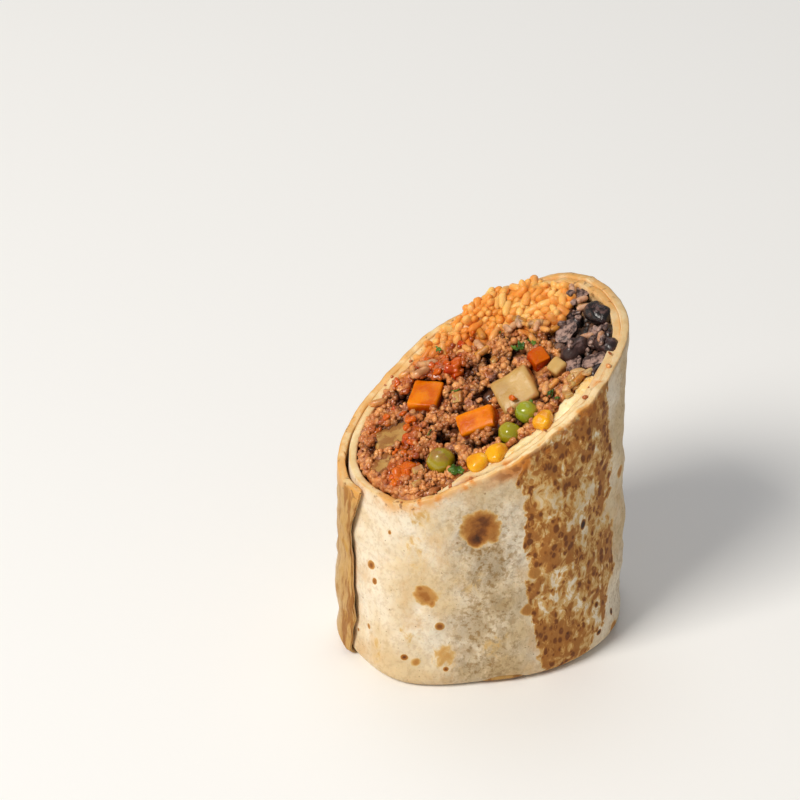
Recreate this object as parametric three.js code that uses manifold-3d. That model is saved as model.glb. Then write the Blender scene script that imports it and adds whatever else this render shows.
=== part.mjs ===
// Half a burrito: a flour tortilla rolled round rice, black beans, mince and diced vegetables, cut on the
// slant and stood on its folded end. Millimetres, +Z up. The origin is on the resting surface under the middle
// of the roll, and +X points to the tall side of the cut.
import * as THREE from "three";
import { RoundedBoxGeometry } from "three/addons/geometries/RoundedBoxGeometry.js";
import { mergeVertices } from "three/addons/utils/BufferGeometryUtils.js";
import Module from "manifold-3d";

// ---- driving dimensions -------------------------------------------------------------------------------------
const HALF_WIDTH = 41.2; // of the flattened roll, at the cut
const HALF_THICKNESS = 32.5;
const SECTION_POWER = 2.1; // 2 is an ellipse, more is squarer
const FOOT_SPREAD = 0.032; // how much wider the foot is than the cut
const ROLL_WAVES = [
  { folds: 2, size: 0.9, at: 77 },
  { folds: 3, size: 1.05, at: 61 },
]; // the roll's unevenness, the same at every height
const FOOT_WAVES = [
  { folds: 1, size: 2.7, at: 286 },
  { folds: 2, size: 3, at: 21 },
  { folds: 3, size: 1.5, at: 56 },
]; // and what the folded end adds to it
const FOOT_WAVE_TOP = 45; // height at which that has died away
const FOOT_WAVE_SIDE = 246; // degrees: the side where it is strongest
const CUT_HEIGHT = 79.2; // of the cut over the middle
const CUT_SLOPE = 0.52; // rise of the cut for each millimetre towards +X
const FOOT_EDGE = 4; // radius round the folded end
const FOOT_DEPTH = 9; // the folded end, packed solid

const SHEET = 1.9; // one layer of tortilla
const PITCH = 2.2; // from one layer to the next
const WALL_FOOT = 1.2; // the rolled wall stops this far above the resting surface
const ROLL_START = 221; // degrees: the inner edge of the roll
const ROLL_END = 905; // degrees: its outer edge, nearly two turns on
const FLAP_BULGE = 1.6; // how far the loose outer edge stands off the roll

const CLEAR = 0.5; // between filling and tortilla
const SEAM = 0.35; // between two fillings, and round each piece
const CORE_SINK = 1.6; // the bare filling lies this far under the cut
const CHEESE = 1.7; // thickness of the melted cheese along the front of the wall

const RIM_DIP = { at: 68, width: 24, depth: 3 }; // where the rice stands higher than the wall
const RICE_GRAIN = { length: 6.2, width: 2.5, spacing: 3.3 };
const RICE_MOUND = { at: [10, 26], size: [44, 17, 7.5] }; // heaped against the back of the wall
const MINCE_CRUMB = { size: 6.8, spacing: 6.9 };
const BEAN = { length: 9.5, width: 6.6, depth: 6 };

// ---- small helpers ------------------------------------------------------------------------------------------
const wasm = await Module();
wasm.setup();
const rad = THREE.MathUtils.degToRad;
const smooth = (x, from, to) => THREE.MathUtils.smoothstep(x, from, to);

function seeded(seed) {
  let state = seed;
  return () => {
    state = (state * 1664525 + 1013904223) % 4294967296;
    return state / 4294967296;
  };
}

// A closed geometry as a solid, whichever way its faces were wound.
function solidOf(geometry) {
  const bare = geometry.clone();
  for (const name of ["normal", "uv"]) bare.deleteAttribute(name);
  const merged = mergeVertices(bare, 1e-4);
  const triVerts = new Uint32Array(merged.index.array);
  const make = () =>
    new wasm.Manifold(
      new wasm.Mesh({
        numProp: 3,
        vertProperties: new Float32Array(merged.attributes.position.array),
        triVerts,
      }),
    );
  const solid = make();
  if (solid.volume() >= 0) return solid;
  for (let i = 0; i < triVerts.length; i += 3)
    [triVerts[i + 1], triVerts[i + 2]] = [triVerts[i + 2], triVerts[i + 1]];
  return make();
}

function geometryOf(solid) {
  const { vertProperties, triVerts, numProp, numVert } = solid.getMesh();
  const position = new Float32Array(numVert * 3);
  for (let i = 0; i < numVert; i++)
    position.set(vertProperties.subarray(i * numProp, i * numProp + 3), i * 3);
  const geometry = new THREE.BufferGeometry();
  geometry.setAttribute("position", new THREE.BufferAttribute(position, 3));
  geometry.setIndex(new THREE.BufferAttribute(new Uint32Array(triVerts), 1));
  geometry.computeVertexNormals();
  return geometry;
}

// The largest body of a solid: loose scraps and sealed hollows go.
function mainBody(solid) {
  return solid.decompose().reduce((a, b) => (b.volume() > a.volume() ? b : a));
}

function fromPoints(points, triangles) {
  const geometry = new THREE.BufferGeometry().setFromPoints(points);
  geometry.setIndex(triangles);
  return geometry;
}

// A sheet between two grids of points, [column][row], closed along its four edges.
function slab(front, back) {
  const columns = front.length;
  const rows = front[0].length;
  const at = (side, i, j) => side * columns * rows + i * rows + j;
  const triangles = [];
  const quad = (a, b, c, d) => triangles.push(a, b, c, a, c, d);
  for (let i = 0; i < columns - 1; i++)
    for (let j = 0; j < rows - 1; j++) {
      quad(at(0, i, j), at(0, i + 1, j), at(0, i + 1, j + 1), at(0, i, j + 1));
      quad(at(1, i, j), at(1, i, j + 1), at(1, i + 1, j + 1), at(1, i + 1, j));
    }
  for (let i = 0; i < columns - 1; i++) {
    quad(at(0, i, 0), at(1, i, 0), at(1, i + 1, 0), at(0, i + 1, 0));
    const top = rows - 1;
    quad(at(0, i, top), at(0, i + 1, top), at(1, i + 1, top), at(1, i, top));
  }
  for (let j = 0; j < rows - 1; j++) {
    quad(at(0, 0, j), at(0, 0, j + 1), at(1, 0, j + 1), at(1, 0, j));
    const end = columns - 1;
    quad(at(0, end, j), at(1, end, j), at(1, end, j + 1), at(0, end, j + 1));
  }
  return solidOf(fromPoints([...front.flat(), ...back.flat()], triangles));
}

// A column through rings of points, [level][point], with flat ends.
function column(rings) {
  const count = rings[0].length;
  const triangles = [];
  for (let k = 0; k < rings.length - 1; k++)
    for (let i = 0; i < count; i++) {
      const next = (i + 1) % count;
      const [a, b] = [k * count + i, k * count + next];
      triangles.push(a, b, b + count, a, b + count, a + count);
    }
  const cap = THREE.ShapeUtils.triangulateShape(
    rings[0].map((p) => new THREE.Vector2(p.x, p.y)),
    [],
  );
  const last = (rings.length - 1) * count;
  for (const [a, b, c] of cap) triangles.push(c, b, a, last + a, last + b, last + c);
  return solidOf(fromPoints(rings.flat(), triangles));
}

// ---- the roll -----------------------------------------------------------------------------------------------
const cutHeight = (x) => CUT_HEIGHT + CUT_SLOPE * x;

// Outer radius of the roll without its loose edge: a flattened round that widens to the foot, with soft lumps.
function sectionRadius(angle, z) {
  const c = Math.abs(Math.cos(angle) / HALF_WIDTH);
  const s = Math.abs(Math.sin(angle) / HALF_THICKNESS);
  const flat = (c ** SECTION_POWER + s ** SECTION_POWER) ** (-1 / SECTION_POWER);
  const spread = 1 + FOOT_SPREAD * (1 - z / CUT_HEIGHT);
  const wave = ({ folds, size, at }) => size * Math.cos(folds * (angle - rad(at)));
  const sum = (waves) => waves.reduce((total, each) => total + wave(each), 0);
  const side = 0.6 + 0.4 * Math.cos(angle - rad(FOOT_WAVE_SIDE));
  const atFoot = side * Math.max(0, 1 - z / FOOT_WAVE_TOP);
  const lumps = 0.25 * Math.sin(7 * angle + 0.11 * z);
  // under the loose edge the roll is one layer smaller, so that its outside stays on the same form
  const turn = (THREE.MathUtils.radToDeg(angle) + 720) % 360;
  const edge = ROLL_END % 360;
  const under = smooth(turn, edge - 138, edge - 6) * (1 - smooth(turn, edge + 4, edge + 30));
  return flat * spread + sum(ROLL_WAVES) + atFoot * sum(FOOT_WAVES) + lumps - PITCH * under;
}

// The foot turns in to the resting surface on a quarter round.
function footInset(z) {
  if (z >= FOOT_EDGE) return 0;
  return FOOT_EDGE - Math.sqrt(FOOT_EDGE ** 2 - (FOOT_EDGE - z) ** 2);
}

// How far a layer lies outside the roll's outer radius. `turn` is the unrolled angle in degrees.
function layerOffset(turn) {
  const innerRise = smooth(turn, ROLL_END - 360 - 132, ROLL_END - 360);
  const outerRise = smooth(turn, ROLL_END - 132, ROLL_END);
  return PITCH * (innerRise - 1 + outerRise);
}

function flapLift(turn, z) {
  const rise = smooth(turn, ROLL_END - 75, ROLL_END - 22);
  const fall = 1 - 0.75 * smooth(turn, ROLL_END - 20, ROLL_END);
  return FLAP_BULGE * rise * fall * smooth(z, 4, 20) * (0.85 + 0.15 * Math.sin(0.16 * z));
}

function wallRadius(turn, z) {
  return sectionRadius(rad(turn), z) + layerOffset(turn) + flapLift(turn, z) - footInset(z);
}

function onAngle(angle, radius, z) {
  return new THREE.Vector3(radius * Math.cos(angle), radius * Math.sin(angle), z);
}

// Height of a layer's cut edge: the plane of the cut, with a small wave of its own.
function rimHeight(turn) {
  const away = ((turn - RIM_DIP.at + 540) % 360) - 180;
  const dip = RIM_DIP.depth * Math.exp(-((away / RIM_DIP.width) ** 2));
  const wave = 0.35 * Math.sin(rad(2.3 * turn)) + 0.25 * Math.sin(rad(5.1 * turn)) - dip;
  let z = CUT_HEIGHT;
  for (let pass = 0; pass < 4; pass++)
    z = cutHeight(wallRadius(turn, z) * Math.cos(rad(turn))) + wave;
  return z;
}

function rolledWall() {
  const COLUMNS = 92;
  const RISE = [0, 0.28, 0.52, 0.76, 1]; // from the top of the foot's round to the rim
  const grids = [[], []];
  for (let i = 0; i <= COLUMNS; i++) {
    const share = i / COLUMNS;
    const straight = ROLL_START + (ROLL_END - ROLL_START) * share;
    const rim = rimHeight(straight);
    const heights = [WALL_FOOT, 2.5, ...RISE.map((t) => FOOT_EDGE + (rim - FOOT_EDGE) * t)];
    grids.forEach((grid, side) =>
      grid.push(
        heights.map((z) => {
          const turn = straight + 2.5 * Math.sin(0.13 * z) * smooth(share, 0.9, 1);
          return onAngle(rad(turn), wallRadius(turn, z) - side * SHEET, z);
        }),
      ),
    );
  }
  return slab(grids[0], grids[1]);
}

// The folded end, and the crease between its two folds underneath.
function foldedEnd() {
  const POINTS = 48;
  const rings = [0, 0.4, 1.2, 2.5, FOOT_EDGE, FOOT_DEPTH].map((z) =>
    Array.from({ length: POINTS }, (_, i) => {
      const angle = (2 * Math.PI * i) / POINTS;
      return onAngle(angle, sectionRadius(angle, z) - 0.6 * SHEET - footInset(z), z);
    }),
  );
  const crease = new THREE.CatmullRomCurve3([
    new THREE.Vector3(-17, -40, 0.2),
    new THREE.Vector3(-15, -24, 0),
    new THREE.Vector3(1, -11, -0.2),
    new THREE.Vector3(11, 7, -0.4),
    new THREE.Vector3(13, 20, -0.9),
  ]);
  const section = new THREE.Shape([
    new THREE.Vector2(-1.1, -1.7),
    new THREE.Vector2(1.1, -1.7),
    new THREE.Vector2(1.1, 1.7),
    new THREE.Vector2(-1.1, 1.7),
  ]);
  const groove = new THREE.ExtrudeGeometry(section, { extrudePath: crease, steps: 10 });
  return column(rings).subtract(solidOf(groove));
}

// ---- the space inside the roll, and how the fillings share it ------------------------------------------------
const cheeseShare = (angle) => {
  const degrees = THREE.MathUtils.radToDeg(Math.atan2(Math.sin(angle), Math.cos(angle)));
  return smooth(degrees, -132, -118) * (1 - smooth(degrees, -52, -38));
};

// Inner face of the innermost layer, less the clearance. It steps in just before the roll's inner edge.
function fillRadius(angle, z) {
  const degrees = (THREE.MathUtils.radToDeg(angle) + 720) % 360;
  const inner = degrees >= ROLL_START ? degrees : degrees + 360;
  const stepIn = inner < 400 ? 0 : PITCH * smooth(inner, ROLL_START + 348, ROLL_START + 354);
  return sectionRadius(angle, z) + layerOffset(inner) - stepIn - SHEET - CLEAR;
}

function fillColumn({ top, inset }) {
  const POINTS = 60;
  const bottom = FOOT_DEPTH + SEAM;
  const LEVELS = [0, 0.28, 0.52, 0.76, 1];
  const angles = Array.from({ length: POINTS }, (_, i) => (2 * Math.PI * (i + 0.5)) / POINTS);
  const rings = LEVELS.map((t) =>
    angles.map((angle) => {
      let z = CUT_HEIGHT;
      for (let pass = 0; pass < 4; pass++)
        z = cutHeight(fillRadius(angle, z) * Math.cos(angle)) + top;
      const height = bottom + (z - bottom) * t;
      return onAngle(angle, fillRadius(angle, height) - inset(angle), height);
    }),
  );
  return column(rings);
}

const behindCheese = (angle) => cheeseShare(angle) * (CHEESE + SEAM);

// Upright dividers, seen from above, along the lines where two fillings meet.
const RICE_LINE = [
  [-40, 33],
  [-22, 26],
  [-7, 21.8],
  [0, 22],
  [6, 15],
  [13, 11.7],
  [18, 8.4],
  [23, 2.6],
];
const BEAN_LINE_BACK = [
  [22.6, 2.9],
  [28, 6.6],
  [32, 11.5],
  [50, 24],
];
const BEAN_LINE_FRONT = [
  [22.6, 2.9],
  [19.4, -2.4],
  [16.6, -8.5],
  [17, -15],
  [22, -24],
  [34, -40],
];

function divider(line) {
  const curve = new THREE.SplineCurve(line.map(([x, y]) => new THREE.Vector2(x, y)));
  const STEPS = 10;
  const sides = [1, -1].map((side) =>
    Array.from({ length: STEPS + 1 }, (_, i) => {
      const along = curve.getTangentAt(i / STEPS);
      return curve
        .getPointAt(i / STEPS)
        .add(new THREE.Vector2(-along.y, along.x).multiplyScalar((side * SEAM) / 2));
    }),
  );
  const strip = new THREE.Shape([...sides[0], ...sides[1].reverse()]);
  return solidOf(new THREE.ExtrudeGeometry(strip, { depth: 140, bevelEnabled: false }));
}

const dividers = [RICE_LINE, BEAN_LINE_BACK, BEAN_LINE_FRONT].map(divider);
const inside = { rice: [14, 20], beans: [29, -6], mince: [-12, -6] };

// Splits a column into the three fillings' shares, each found by a point that lies in it.
function shares(whole) {
  const bodies = dividers.reduce((left, cut) => left.subtract(cut), whole).decompose();
  const found = {};
  for (const [name, [x, y]] of Object.entries(inside)) {
    const probe = solidOf(new THREE.BoxGeometry(1, 1, 4).translate(x, y, FOOT_DEPTH + 10));
    found[name] = bodies.find((body) => body.intersect(probe).volume() > 0.5);
  }
  return found;
}

const cores = shares(fillColumn({ top: -CORE_SINK, inset: behindCheese }));
const zones = shares(fillColumn({ top: 12, inset: behindCheese }));

// ---- pieces that lie in the filling --------------------------------------------------------------------------
// at: seen from above; rise: height over the cut, of the top for dice and of the middle for the rest;
// turn and lean in degrees.
const DICE = {
  carrot_1: { at: [14.0, -3.2], rise: 1.6, size: [9, 5.6, 8], turn: 62, lean: [10, -26] },
  carrot_2: { at: [-13.6, 10.2], rise: 1.6, size: [10.6, 11, 9], turn: 24, lean: [12, -24] },
  carrot_3: { at: [-7.6, -11.2], rise: 1.8, size: [11, 9.5, 9], turn: 14, lean: [18, -24] },
  potato_1: { at: [4.2, -9.6], rise: 1.2, size: [11.4, 12.4, 9], turn: -3, lean: [12, -26] },
  potato_2: { at: [-26.4, 6.6], rise: -0.2, size: [11, 9, 8], turn: -16, lean: [4, -26] },
  potato_3: { at: [-32.0, -2.2], rise: -0.4, size: [7.5, 7.5, 7], turn: 12, lean: [6, -26] },
  potato_4: { at: [16.2, -12.2], rise: 1.4, size: [5, 5, 5], turn: 8, lean: [14, -22] },
};
const PEAS = {
  pea_1: { at: [3.2, -20.2], rise: 0.3, radius: 3.5 },
  pea_2: { at: [-3.3, -22.2], rise: -0.2, radius: 3.3 },
  pea_3: { at: [-21.0, -15.8], rise: 0.8, radius: 4 },
};
const CORN = {
  corn_1: { at: [6.5, -25.5], rise: 0.2, turn: 10 },
  corn_2: { at: [-14.3, -24.0], rise: 0.2, turn: -14 },
  corn_3: { at: [-8.4, -25.1], rise: -0.2, turn: 24 },
};
const TOMATOES = {
  tomato_1: { at: [-3.7, 11.8], rise: 0, size: [7, 6, 6], turn: 30 },
  tomato_2: { at: [-23.2, -1.0], rise: 0, size: [5, 5.5, 5.5], turn: 80 },
  tomato_3: { at: [-28.4, -9.8], rise: -0.4, size: [7.5, 6, 6], turn: 10 },
};
const LEAVES = {
  cilantro_1: { at: [-19.6, -21.9], rise: 0.8, size: [5.4, 3], turn: -28 },
  cilantro_2: { at: [11.4, 3.0], rise: 1.4, size: [4.6, 3], turn: 50 },
};
const CORN_KERNEL = { length: 6.4, width: 5.4, depth: 4.4 };
const LEAF_SHEET = 0.8;

function placed(geometry, { at, rise, turn = 0, lean = [0, 0] }) {
  const turned = geometry.clone().rotateZ(rad(turn)).rotateX(rad(lean[0])).rotateY(rad(lean[1]));
  return turned.translate(at[0], at[1], cutHeight(at[0]) + rise);
}

// An uneven lump: each corner of a ball moved in or out by a seeded draw.
function lump([width, depth, height], detail, seed) {
  const ball = mergeVertices(bareGeometry(new THREE.IcosahedronGeometry(0.5, detail)), 1e-4);
  const draw = seeded(seed);
  const position = ball.attributes.position;
  for (let i = 0; i < position.count; i++) {
    const grow = 0.86 + 0.3 * draw();
    position.setXYZ(
      i,
      position.getX(i) * width * grow,
      position.getY(i) * depth * grow,
      position.getZ(i) * height * grow,
    );
  }
  return ball;
}

function bareGeometry(geometry) {
  for (const name of ["normal", "uv"]) geometry.deleteAttribute(name);
  return geometry;
}

// A softened block; its origin is in the middle of its top face.
function dice(size) {
  return new RoundedBoxGeometry(...size, 1, 0.7).translate(0, 0, -size[2] / 2);
}

function kernel() {
  const { length, width, depth } = CORN_KERNEL;
  const ball = new THREE.SphereGeometry(0.5, 8, 6).rotateZ(Math.PI / 2);
  const position = ball.attributes.position;
  for (let i = 0; i < position.count; i++) {
    const along = position.getX(i);
    position.setXYZ(
      i,
      along * length,
      position.getY(i) * width * (1 - 0.5 * along),
      position.getZ(i) * depth,
    );
  }
  return ball;
}

// A torn leaf: a thin sheet that waves along its length.
function leaf([length, width]) {
  const [COLUMNS, ROWS] = [6, 3];
  const grids = [0, 1].map((side) =>
    Array.from({ length: COLUMNS + 1 }, (_, i) =>
      Array.from({ length: ROWS + 1 }, (_, j) => {
        const [u, v] = [i / COLUMNS - 0.5, j / ROWS - 0.5];
        const lobe = 0.55 + 0.45 * Math.cos(Math.PI * u) + 0.12 * Math.sin(14 * u);
        const wave = 0.5 * Math.sin(7 * u + 3 * v);
        return new THREE.Vector3(u * length, v * width * lobe, wave - side * LEAF_SHEET);
      }),
    ),
  );
  return geometryOf(slab(grids[0], grids[1]));
}

const pieces = {};
const pockets = [];
function addPiece(name, geometry, place, room) {
  pieces[name] = solidOf(placed(geometry, place));
  pockets.push(solidOf(placed(room, place)));
}

// The room round a round piece: its own form, larger by the seam on every side.
function roomFor(geometry, reach) {
  return geometry.clone().scale(...reach.map((size) => 1 + (2 * SEAM) / size));
}

for (const [name, piece] of Object.entries(DICE)) {
  const [width, depth, height] = piece.size;
  const room = new THREE.BoxGeometry(width + 2 * SEAM, depth + 2 * SEAM, height + 2 * SEAM);
  addPiece(name, dice(piece.size), piece, room.translate(0, 0, -height / 2));
}
for (const [name, piece] of Object.entries(PEAS)) {
  const room = new THREE.SphereGeometry(piece.radius + 1.8 * SEAM, 9, 6);
  addPiece(name, new THREE.SphereGeometry(piece.radius, 11, 8), piece, room);
}
for (const [name, piece] of Object.entries(CORN)) {
  const form = kernel();
  addPiece(name, form, { lean: [0, -22], ...piece }, roomFor(form, Object.values(CORN_KERNEL)));
}
Object.entries(TOMATOES).forEach(([name, piece], i) => {
  const form = lump(piece.size, 1, 31 + i);
  addPiece(name, form, piece, roomFor(form, piece.size));
});
for (const [name, piece] of Object.entries(LEAVES)) {
  const [length, width] = piece.size;
  const room = dice([length + 2 * SEAM, width + 2 * SEAM, 2.6]).translate(0, 0, 1.3 - LEAF_SHEET / 2);
  addPiece(name, leaf(piece.size), { lean: [0, -26], ...piece }, room);
}

// ---- fillings ------------------------------------------------------------------------------------------------
// Seeded places over the cut, on a jittered grid, where `keep` allows them.
function scatter(spacing, seed, keep) {
  const draw = seeded(seed);
  const places = [];
  for (let x = -HALF_WIDTH; x < HALF_WIDTH; x += spacing)
    for (let y = -HALF_THICKNESS; y < HALF_THICKNESS; y += spacing) {
      const at = [x + (draw() - 0.5) * spacing * 0.8, y + (draw() - 0.5) * spacing * 0.8];
      const spin = [draw(), draw(), draw(), draw()];
      if (keep(at)) places.push({ at, spin });
    }
  return places;
}

// True where a small upright post at this place lies wholly in the zone and clear of every pocket.
function fits(zone, [x, y], reach, clearOfPockets) {
  const z = cutHeight(x);
  const post = solidOf(new THREE.BoxGeometry(reach, reach, 2).translate(x, y, z));
  if (post.intersect(zone).volume() < 0.98 * post.volume()) return false;
  if (!clearOfPockets) return true;
  return pockets.every((pocket) => post.intersect(pocket).volume() < 0.35 * post.volume());
}

// Core and pieces joined, kept inside the filling's share, with the pockets cut out.
function heap(name, parts) {
  const joined = wasm.Manifold.union([cores[name], ...parts]);
  const trimmed = joined.intersect(zones[name]);
  return mainBody(wasm.Manifold.difference([trimmed, ...pockets])).simplify(0.06);
}

function riceHeap() {
  const { length, width, spacing } = RICE_GRAIN;
  const grain = new THREE.SphereGeometry(0.5, 5, 4).scale(width, length, width * 0.85);
  const places = scatter(spacing, 7, (at) => fits(zones.rice, at, 2.2, true));
  const [[x, y], [long, deep, high]] = [RICE_MOUND.at, RICE_MOUND.size];
  const mound = new THREE.SphereGeometry(0.5, 12, 6).scale(long, deep, high);
  const swell = (at) => {
    const away = Math.hypot((2 * (at[0] - x)) / long, (2 * (at[1] - y)) / deep);
    return CORE_SINK + (high / 2 - CORE_SINK) * Math.sqrt(Math.max(0, 1 - away ** 2)) - CORE_SINK;
  };
  const grains = places.map(({ at, spin }) =>
    solidOf(
      placed(grain, {
        at,
        rise: -0.9 + 0.8 * spin[2] + 0.7 * Math.max(0, swell(at)),
        turn: 180 * spin[0],
        lean: [50 * (spin[1] - 0.5), -26],
      }),
    ),
  );
  const place = { at: [x, y], rise: -CORE_SINK, turn: -20, lean: [0, -27] };
  return heap("rice", [solidOf(placed(mound, place)), ...grains]);
}

function beanHeap() {
  const BEANS = [
    { at: [31.8, -4.0], rise: 1.0, turn: 100 },
    { at: [32.4, 7.4], rise: -0.2, turn: 30 },
    { at: [25.2, -1.6], rise: 0, turn: 20 },
    { at: [22.8, -9.8], rise: -0.4, turn: 10 },
    { at: [27.9, -10.4], rise: 0, turn: 60 },
    { at: [28.6, -16.4], rise: 0.2, turn: 115 },
    { at: [24.4, -18.6], rise: -0.2, turn: 150 },
    { at: [28.4, 3.2], rise: -1.8, turn: 80 },
  ];
  const { length, width, depth } = BEAN;
  const bean = new THREE.SphereGeometry(0.5, 9, 6).scale(length, width, depth);
  return heap(
    "beans",
    BEANS.map((place) => solidOf(placed(bean, { lean: [0, -26], ...place }))),
  );
}

function minceHeap() {
  const { size, spacing } = MINCE_CRUMB;
  const places = scatter(spacing, 23, (at) => fits(zones.mince, at, 2.4, true));
  const crumbs = places.map(({ at, spin }, i) => {
    const across = size * (0.75 + 0.7 * spin[0]);
    return solidOf(
      placed(lump([across, across * 0.8, size * 0.9], 0, 100 + i), {
        at,
        rise: -2.0 + 1.8 * spin[1],
        turn: 360 * spin[2],
      }),
    );
  });
  return heap("mince", crumbs);
}

// Melted cheese: a thin tongue between the mince and the front of the wall.
function cheeseLayer() {
  const COLUMNS = 16;
  const LEVELS = [0, 0.28, 0.52, 0.76, 1];
  const bottom = FOOT_DEPTH + SEAM;
  const grids = [0, 1].map((side) =>
    Array.from({ length: COLUMNS + 1 }, (_, i) => {
      const angle = rad(-126 + (82 * i) / COLUMNS);
      const top = cutHeight(fillRadius(angle, CUT_HEIGHT) * Math.cos(angle)) - 0.3 + 0.4 * Math.sin(1.9 * i);
      return LEVELS.map((t) => {
        const z = bottom + (top - bottom) * t;
        const thick = 0.35 + (CHEESE - 0.35) * cheeseShare(angle);
        return onAngle(angle, fillRadius(angle, z) - side * thick * cheeseShare(angle) - side * 0.1, z);
      });
    }),
  );
  return mainBody(wasm.Manifold.difference([slab(grids[0], grids[1]), ...pockets]));
}

// ---- materials and the finished group -------------------------------------------------------------------------
const finish = (color, roughness) => new THREE.MeshStandardMaterial({ color, roughness, metalness: 0 });
const materials = {
  tortilla: finish("#ead9b8", 0.8),
  rice: finish("#e2a05a", 0.5),
  beans: finish("#352a30", 0.45),
  mince: finish("#8a5230", 0.6),
  cheese: finish("#f2e3b0", 0.45),
  carrot: finish("#e9700f", 0.4),
  potato: finish("#dcc07a", 0.5),
  pea: finish("#7d8f1e", 0.35),
  corn: finish("#f0b21c", 0.35),
  tomato: finish("#bf3a1c", 0.3),
  cilantro: finish("#2f6b2c", 0.5),
};

const burrito = new THREE.Group();
function add(name, solid) {
  const mesh = new THREE.Mesh(geometryOf(solid), materials[name.replace(/_\d+$/, "")]);
  mesh.name = name;
  burrito.add(mesh);
}

add("tortilla", mainBody(rolledWall().add(foldedEnd())));
add("rice", riceHeap());
add("beans", beanHeap());
add("mince", minceHeap());
add("cheese", cheeseLayer());
for (const [name, solid] of Object.entries(pieces)) add(name, solid);

export default burrito;
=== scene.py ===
import bmesh
import bpy
import numpy as np
from mathutils import Matrix, Vector
from mathutils.kdtree import KDTree


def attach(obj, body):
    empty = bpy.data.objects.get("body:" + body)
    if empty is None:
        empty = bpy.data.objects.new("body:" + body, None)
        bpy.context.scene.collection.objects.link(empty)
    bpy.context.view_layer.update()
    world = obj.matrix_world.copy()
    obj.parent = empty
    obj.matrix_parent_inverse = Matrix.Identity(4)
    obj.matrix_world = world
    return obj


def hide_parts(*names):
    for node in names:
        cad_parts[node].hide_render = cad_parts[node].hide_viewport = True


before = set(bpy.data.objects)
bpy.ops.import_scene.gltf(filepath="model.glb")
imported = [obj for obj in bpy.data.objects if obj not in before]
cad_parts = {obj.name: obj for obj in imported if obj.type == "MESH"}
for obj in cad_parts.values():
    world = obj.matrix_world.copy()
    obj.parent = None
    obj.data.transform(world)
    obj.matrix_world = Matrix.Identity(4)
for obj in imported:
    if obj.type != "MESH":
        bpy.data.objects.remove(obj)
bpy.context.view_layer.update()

# ==== Tortilla ==========================================================================================
# One soft wheat tortilla, rolled nearly two turns round the filling, folded in at the foot and cut on the
# slant at the top. It is cream dough, toasted brown in blisters where it lay on the griddle. Sizes are in
# millimetres, and a place along the rolled sheet is its turn, in degrees.
HALF_WIDTH, HALF_THICKNESS, SQUARENESS = 41.2, 32.5, 2.1
CUT_HEIGHT, CUT_SLOPE = 79.2, 0.52
FOOT_SPREAD = 0.032  # how much wider the roll is at its foot, as a share
DOUGH, PITCH = 1.9, 2.2  # how thick the sheet is, and how far one turn of it lies from the next
ROLL_START, ROLL_END = 221, 905
FOOT_ROUND, FOOT_DEPTH = 4, 9
ROLL_WAVES = [(2, 0.9, 77), (3, 1.05, 61)]  # how many folds, how deep, and which way they face
FOOT_WAVES = [(1, 2.7, 286), (2, 3, 21), (3, 1.5, 56)]
FOOT_WAVES_AT, FOOT_WAVES_TOP = 246, 45  # the turn where those are deepest, and how high they reach
FLAP_LIFT, FLAP_START = 1.2, ROLL_END - 75
RIM_DIP_AT, RIM_DIP_DEPTH, RIM_DIP_WIDTH = 68, 3, 24  # where the knife cut a little low, at the back
EDGE_ARC, WALL_ARC, GRIDDLE_ARC = 0.65, 0.66, 0.62  # millimetres to one degree of turn


def rise(value, low, high):
    """Climbs smoothly from 0 at `low` to 1 at `high`."""
    share = np.clip((value - low) / (high - low), 0, 1)
    return share * share * (3 - 2 * share)


def hump(value, middle, width, power=2):
    """A bell 1 high round `middle`; with a power of 4 or 6 its top is flat."""
    return np.exp(-(((value - middle) / width) ** power))


def cut_height(x):
    return CUT_HEIGHT + CUT_SLOPE * x


def folds_at(angle, waves):
    return sum(size * np.cos(folds * (angle - np.radians(at))) for folds, size, at in waves)


def roll_radius(angle, z):
    """The roll's outer radius: a soft oval, waved all round and more so towards the foot."""
    wide, deep = np.abs(np.cos(angle) / HALF_WIDTH), np.abs(np.sin(angle) / HALF_THICKNESS)
    oval = (wide ** SQUARENESS + deep ** SQUARENESS) ** (-1 / SQUARENESS)
    radius = oval * (1 + FOOT_SPREAD * (1 - z / CUT_HEIGHT)) + folds_at(angle, ROLL_WAVES)
    low = (0.6 + 0.4 * np.cos(angle - np.radians(FOOT_WAVES_AT))) * np.maximum(0, 1 - z / FOOT_WAVES_TOP)
    turn, edge = (np.degrees(angle) + 720) % 360, ROLL_END % 360
    under_edge = rise(turn, edge - 138, edge - 6) * (1 - rise(turn, edge + 4, edge + 30))
    radius = radius + low * folds_at(angle, FOOT_WAVES) + 0.25 * np.sin(7 * angle + 0.11 * z)
    return radius - PITCH * under_edge


def foot_inset(z):
    below = np.clip(FOOT_ROUND - z, 0, FOOT_ROUND)
    return FOOT_ROUND - np.sqrt(FOOT_ROUND ** 2 - below ** 2)


def layer_offset(turn):
    return PITCH * (rise(turn, ROLL_END - 492, ROLL_END - 360) - 1 + rise(turn, ROLL_END - 132, ROLL_END))


def flap_lift(turn, z):
    """How far the sheet's free end stands off the roll."""
    along = rise(turn, FLAP_START, ROLL_END - 22) * (1 - 0.75 * rise(turn, ROLL_END - 20, ROLL_END))
    return FLAP_LIFT * along * rise(z, 4, 20) * (0.85 + 0.15 * np.sin(0.16 * z))


def wall_radius(turn, z):
    return roll_radius(np.radians(turn), z) + layer_offset(turn) + flap_lift(turn, z) - foot_inset(z)


def ring(angle, radius, z):
    return np.stack(np.broadcast_arrays(radius * np.cos(angle), radius * np.sin(angle), z), -1)


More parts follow.
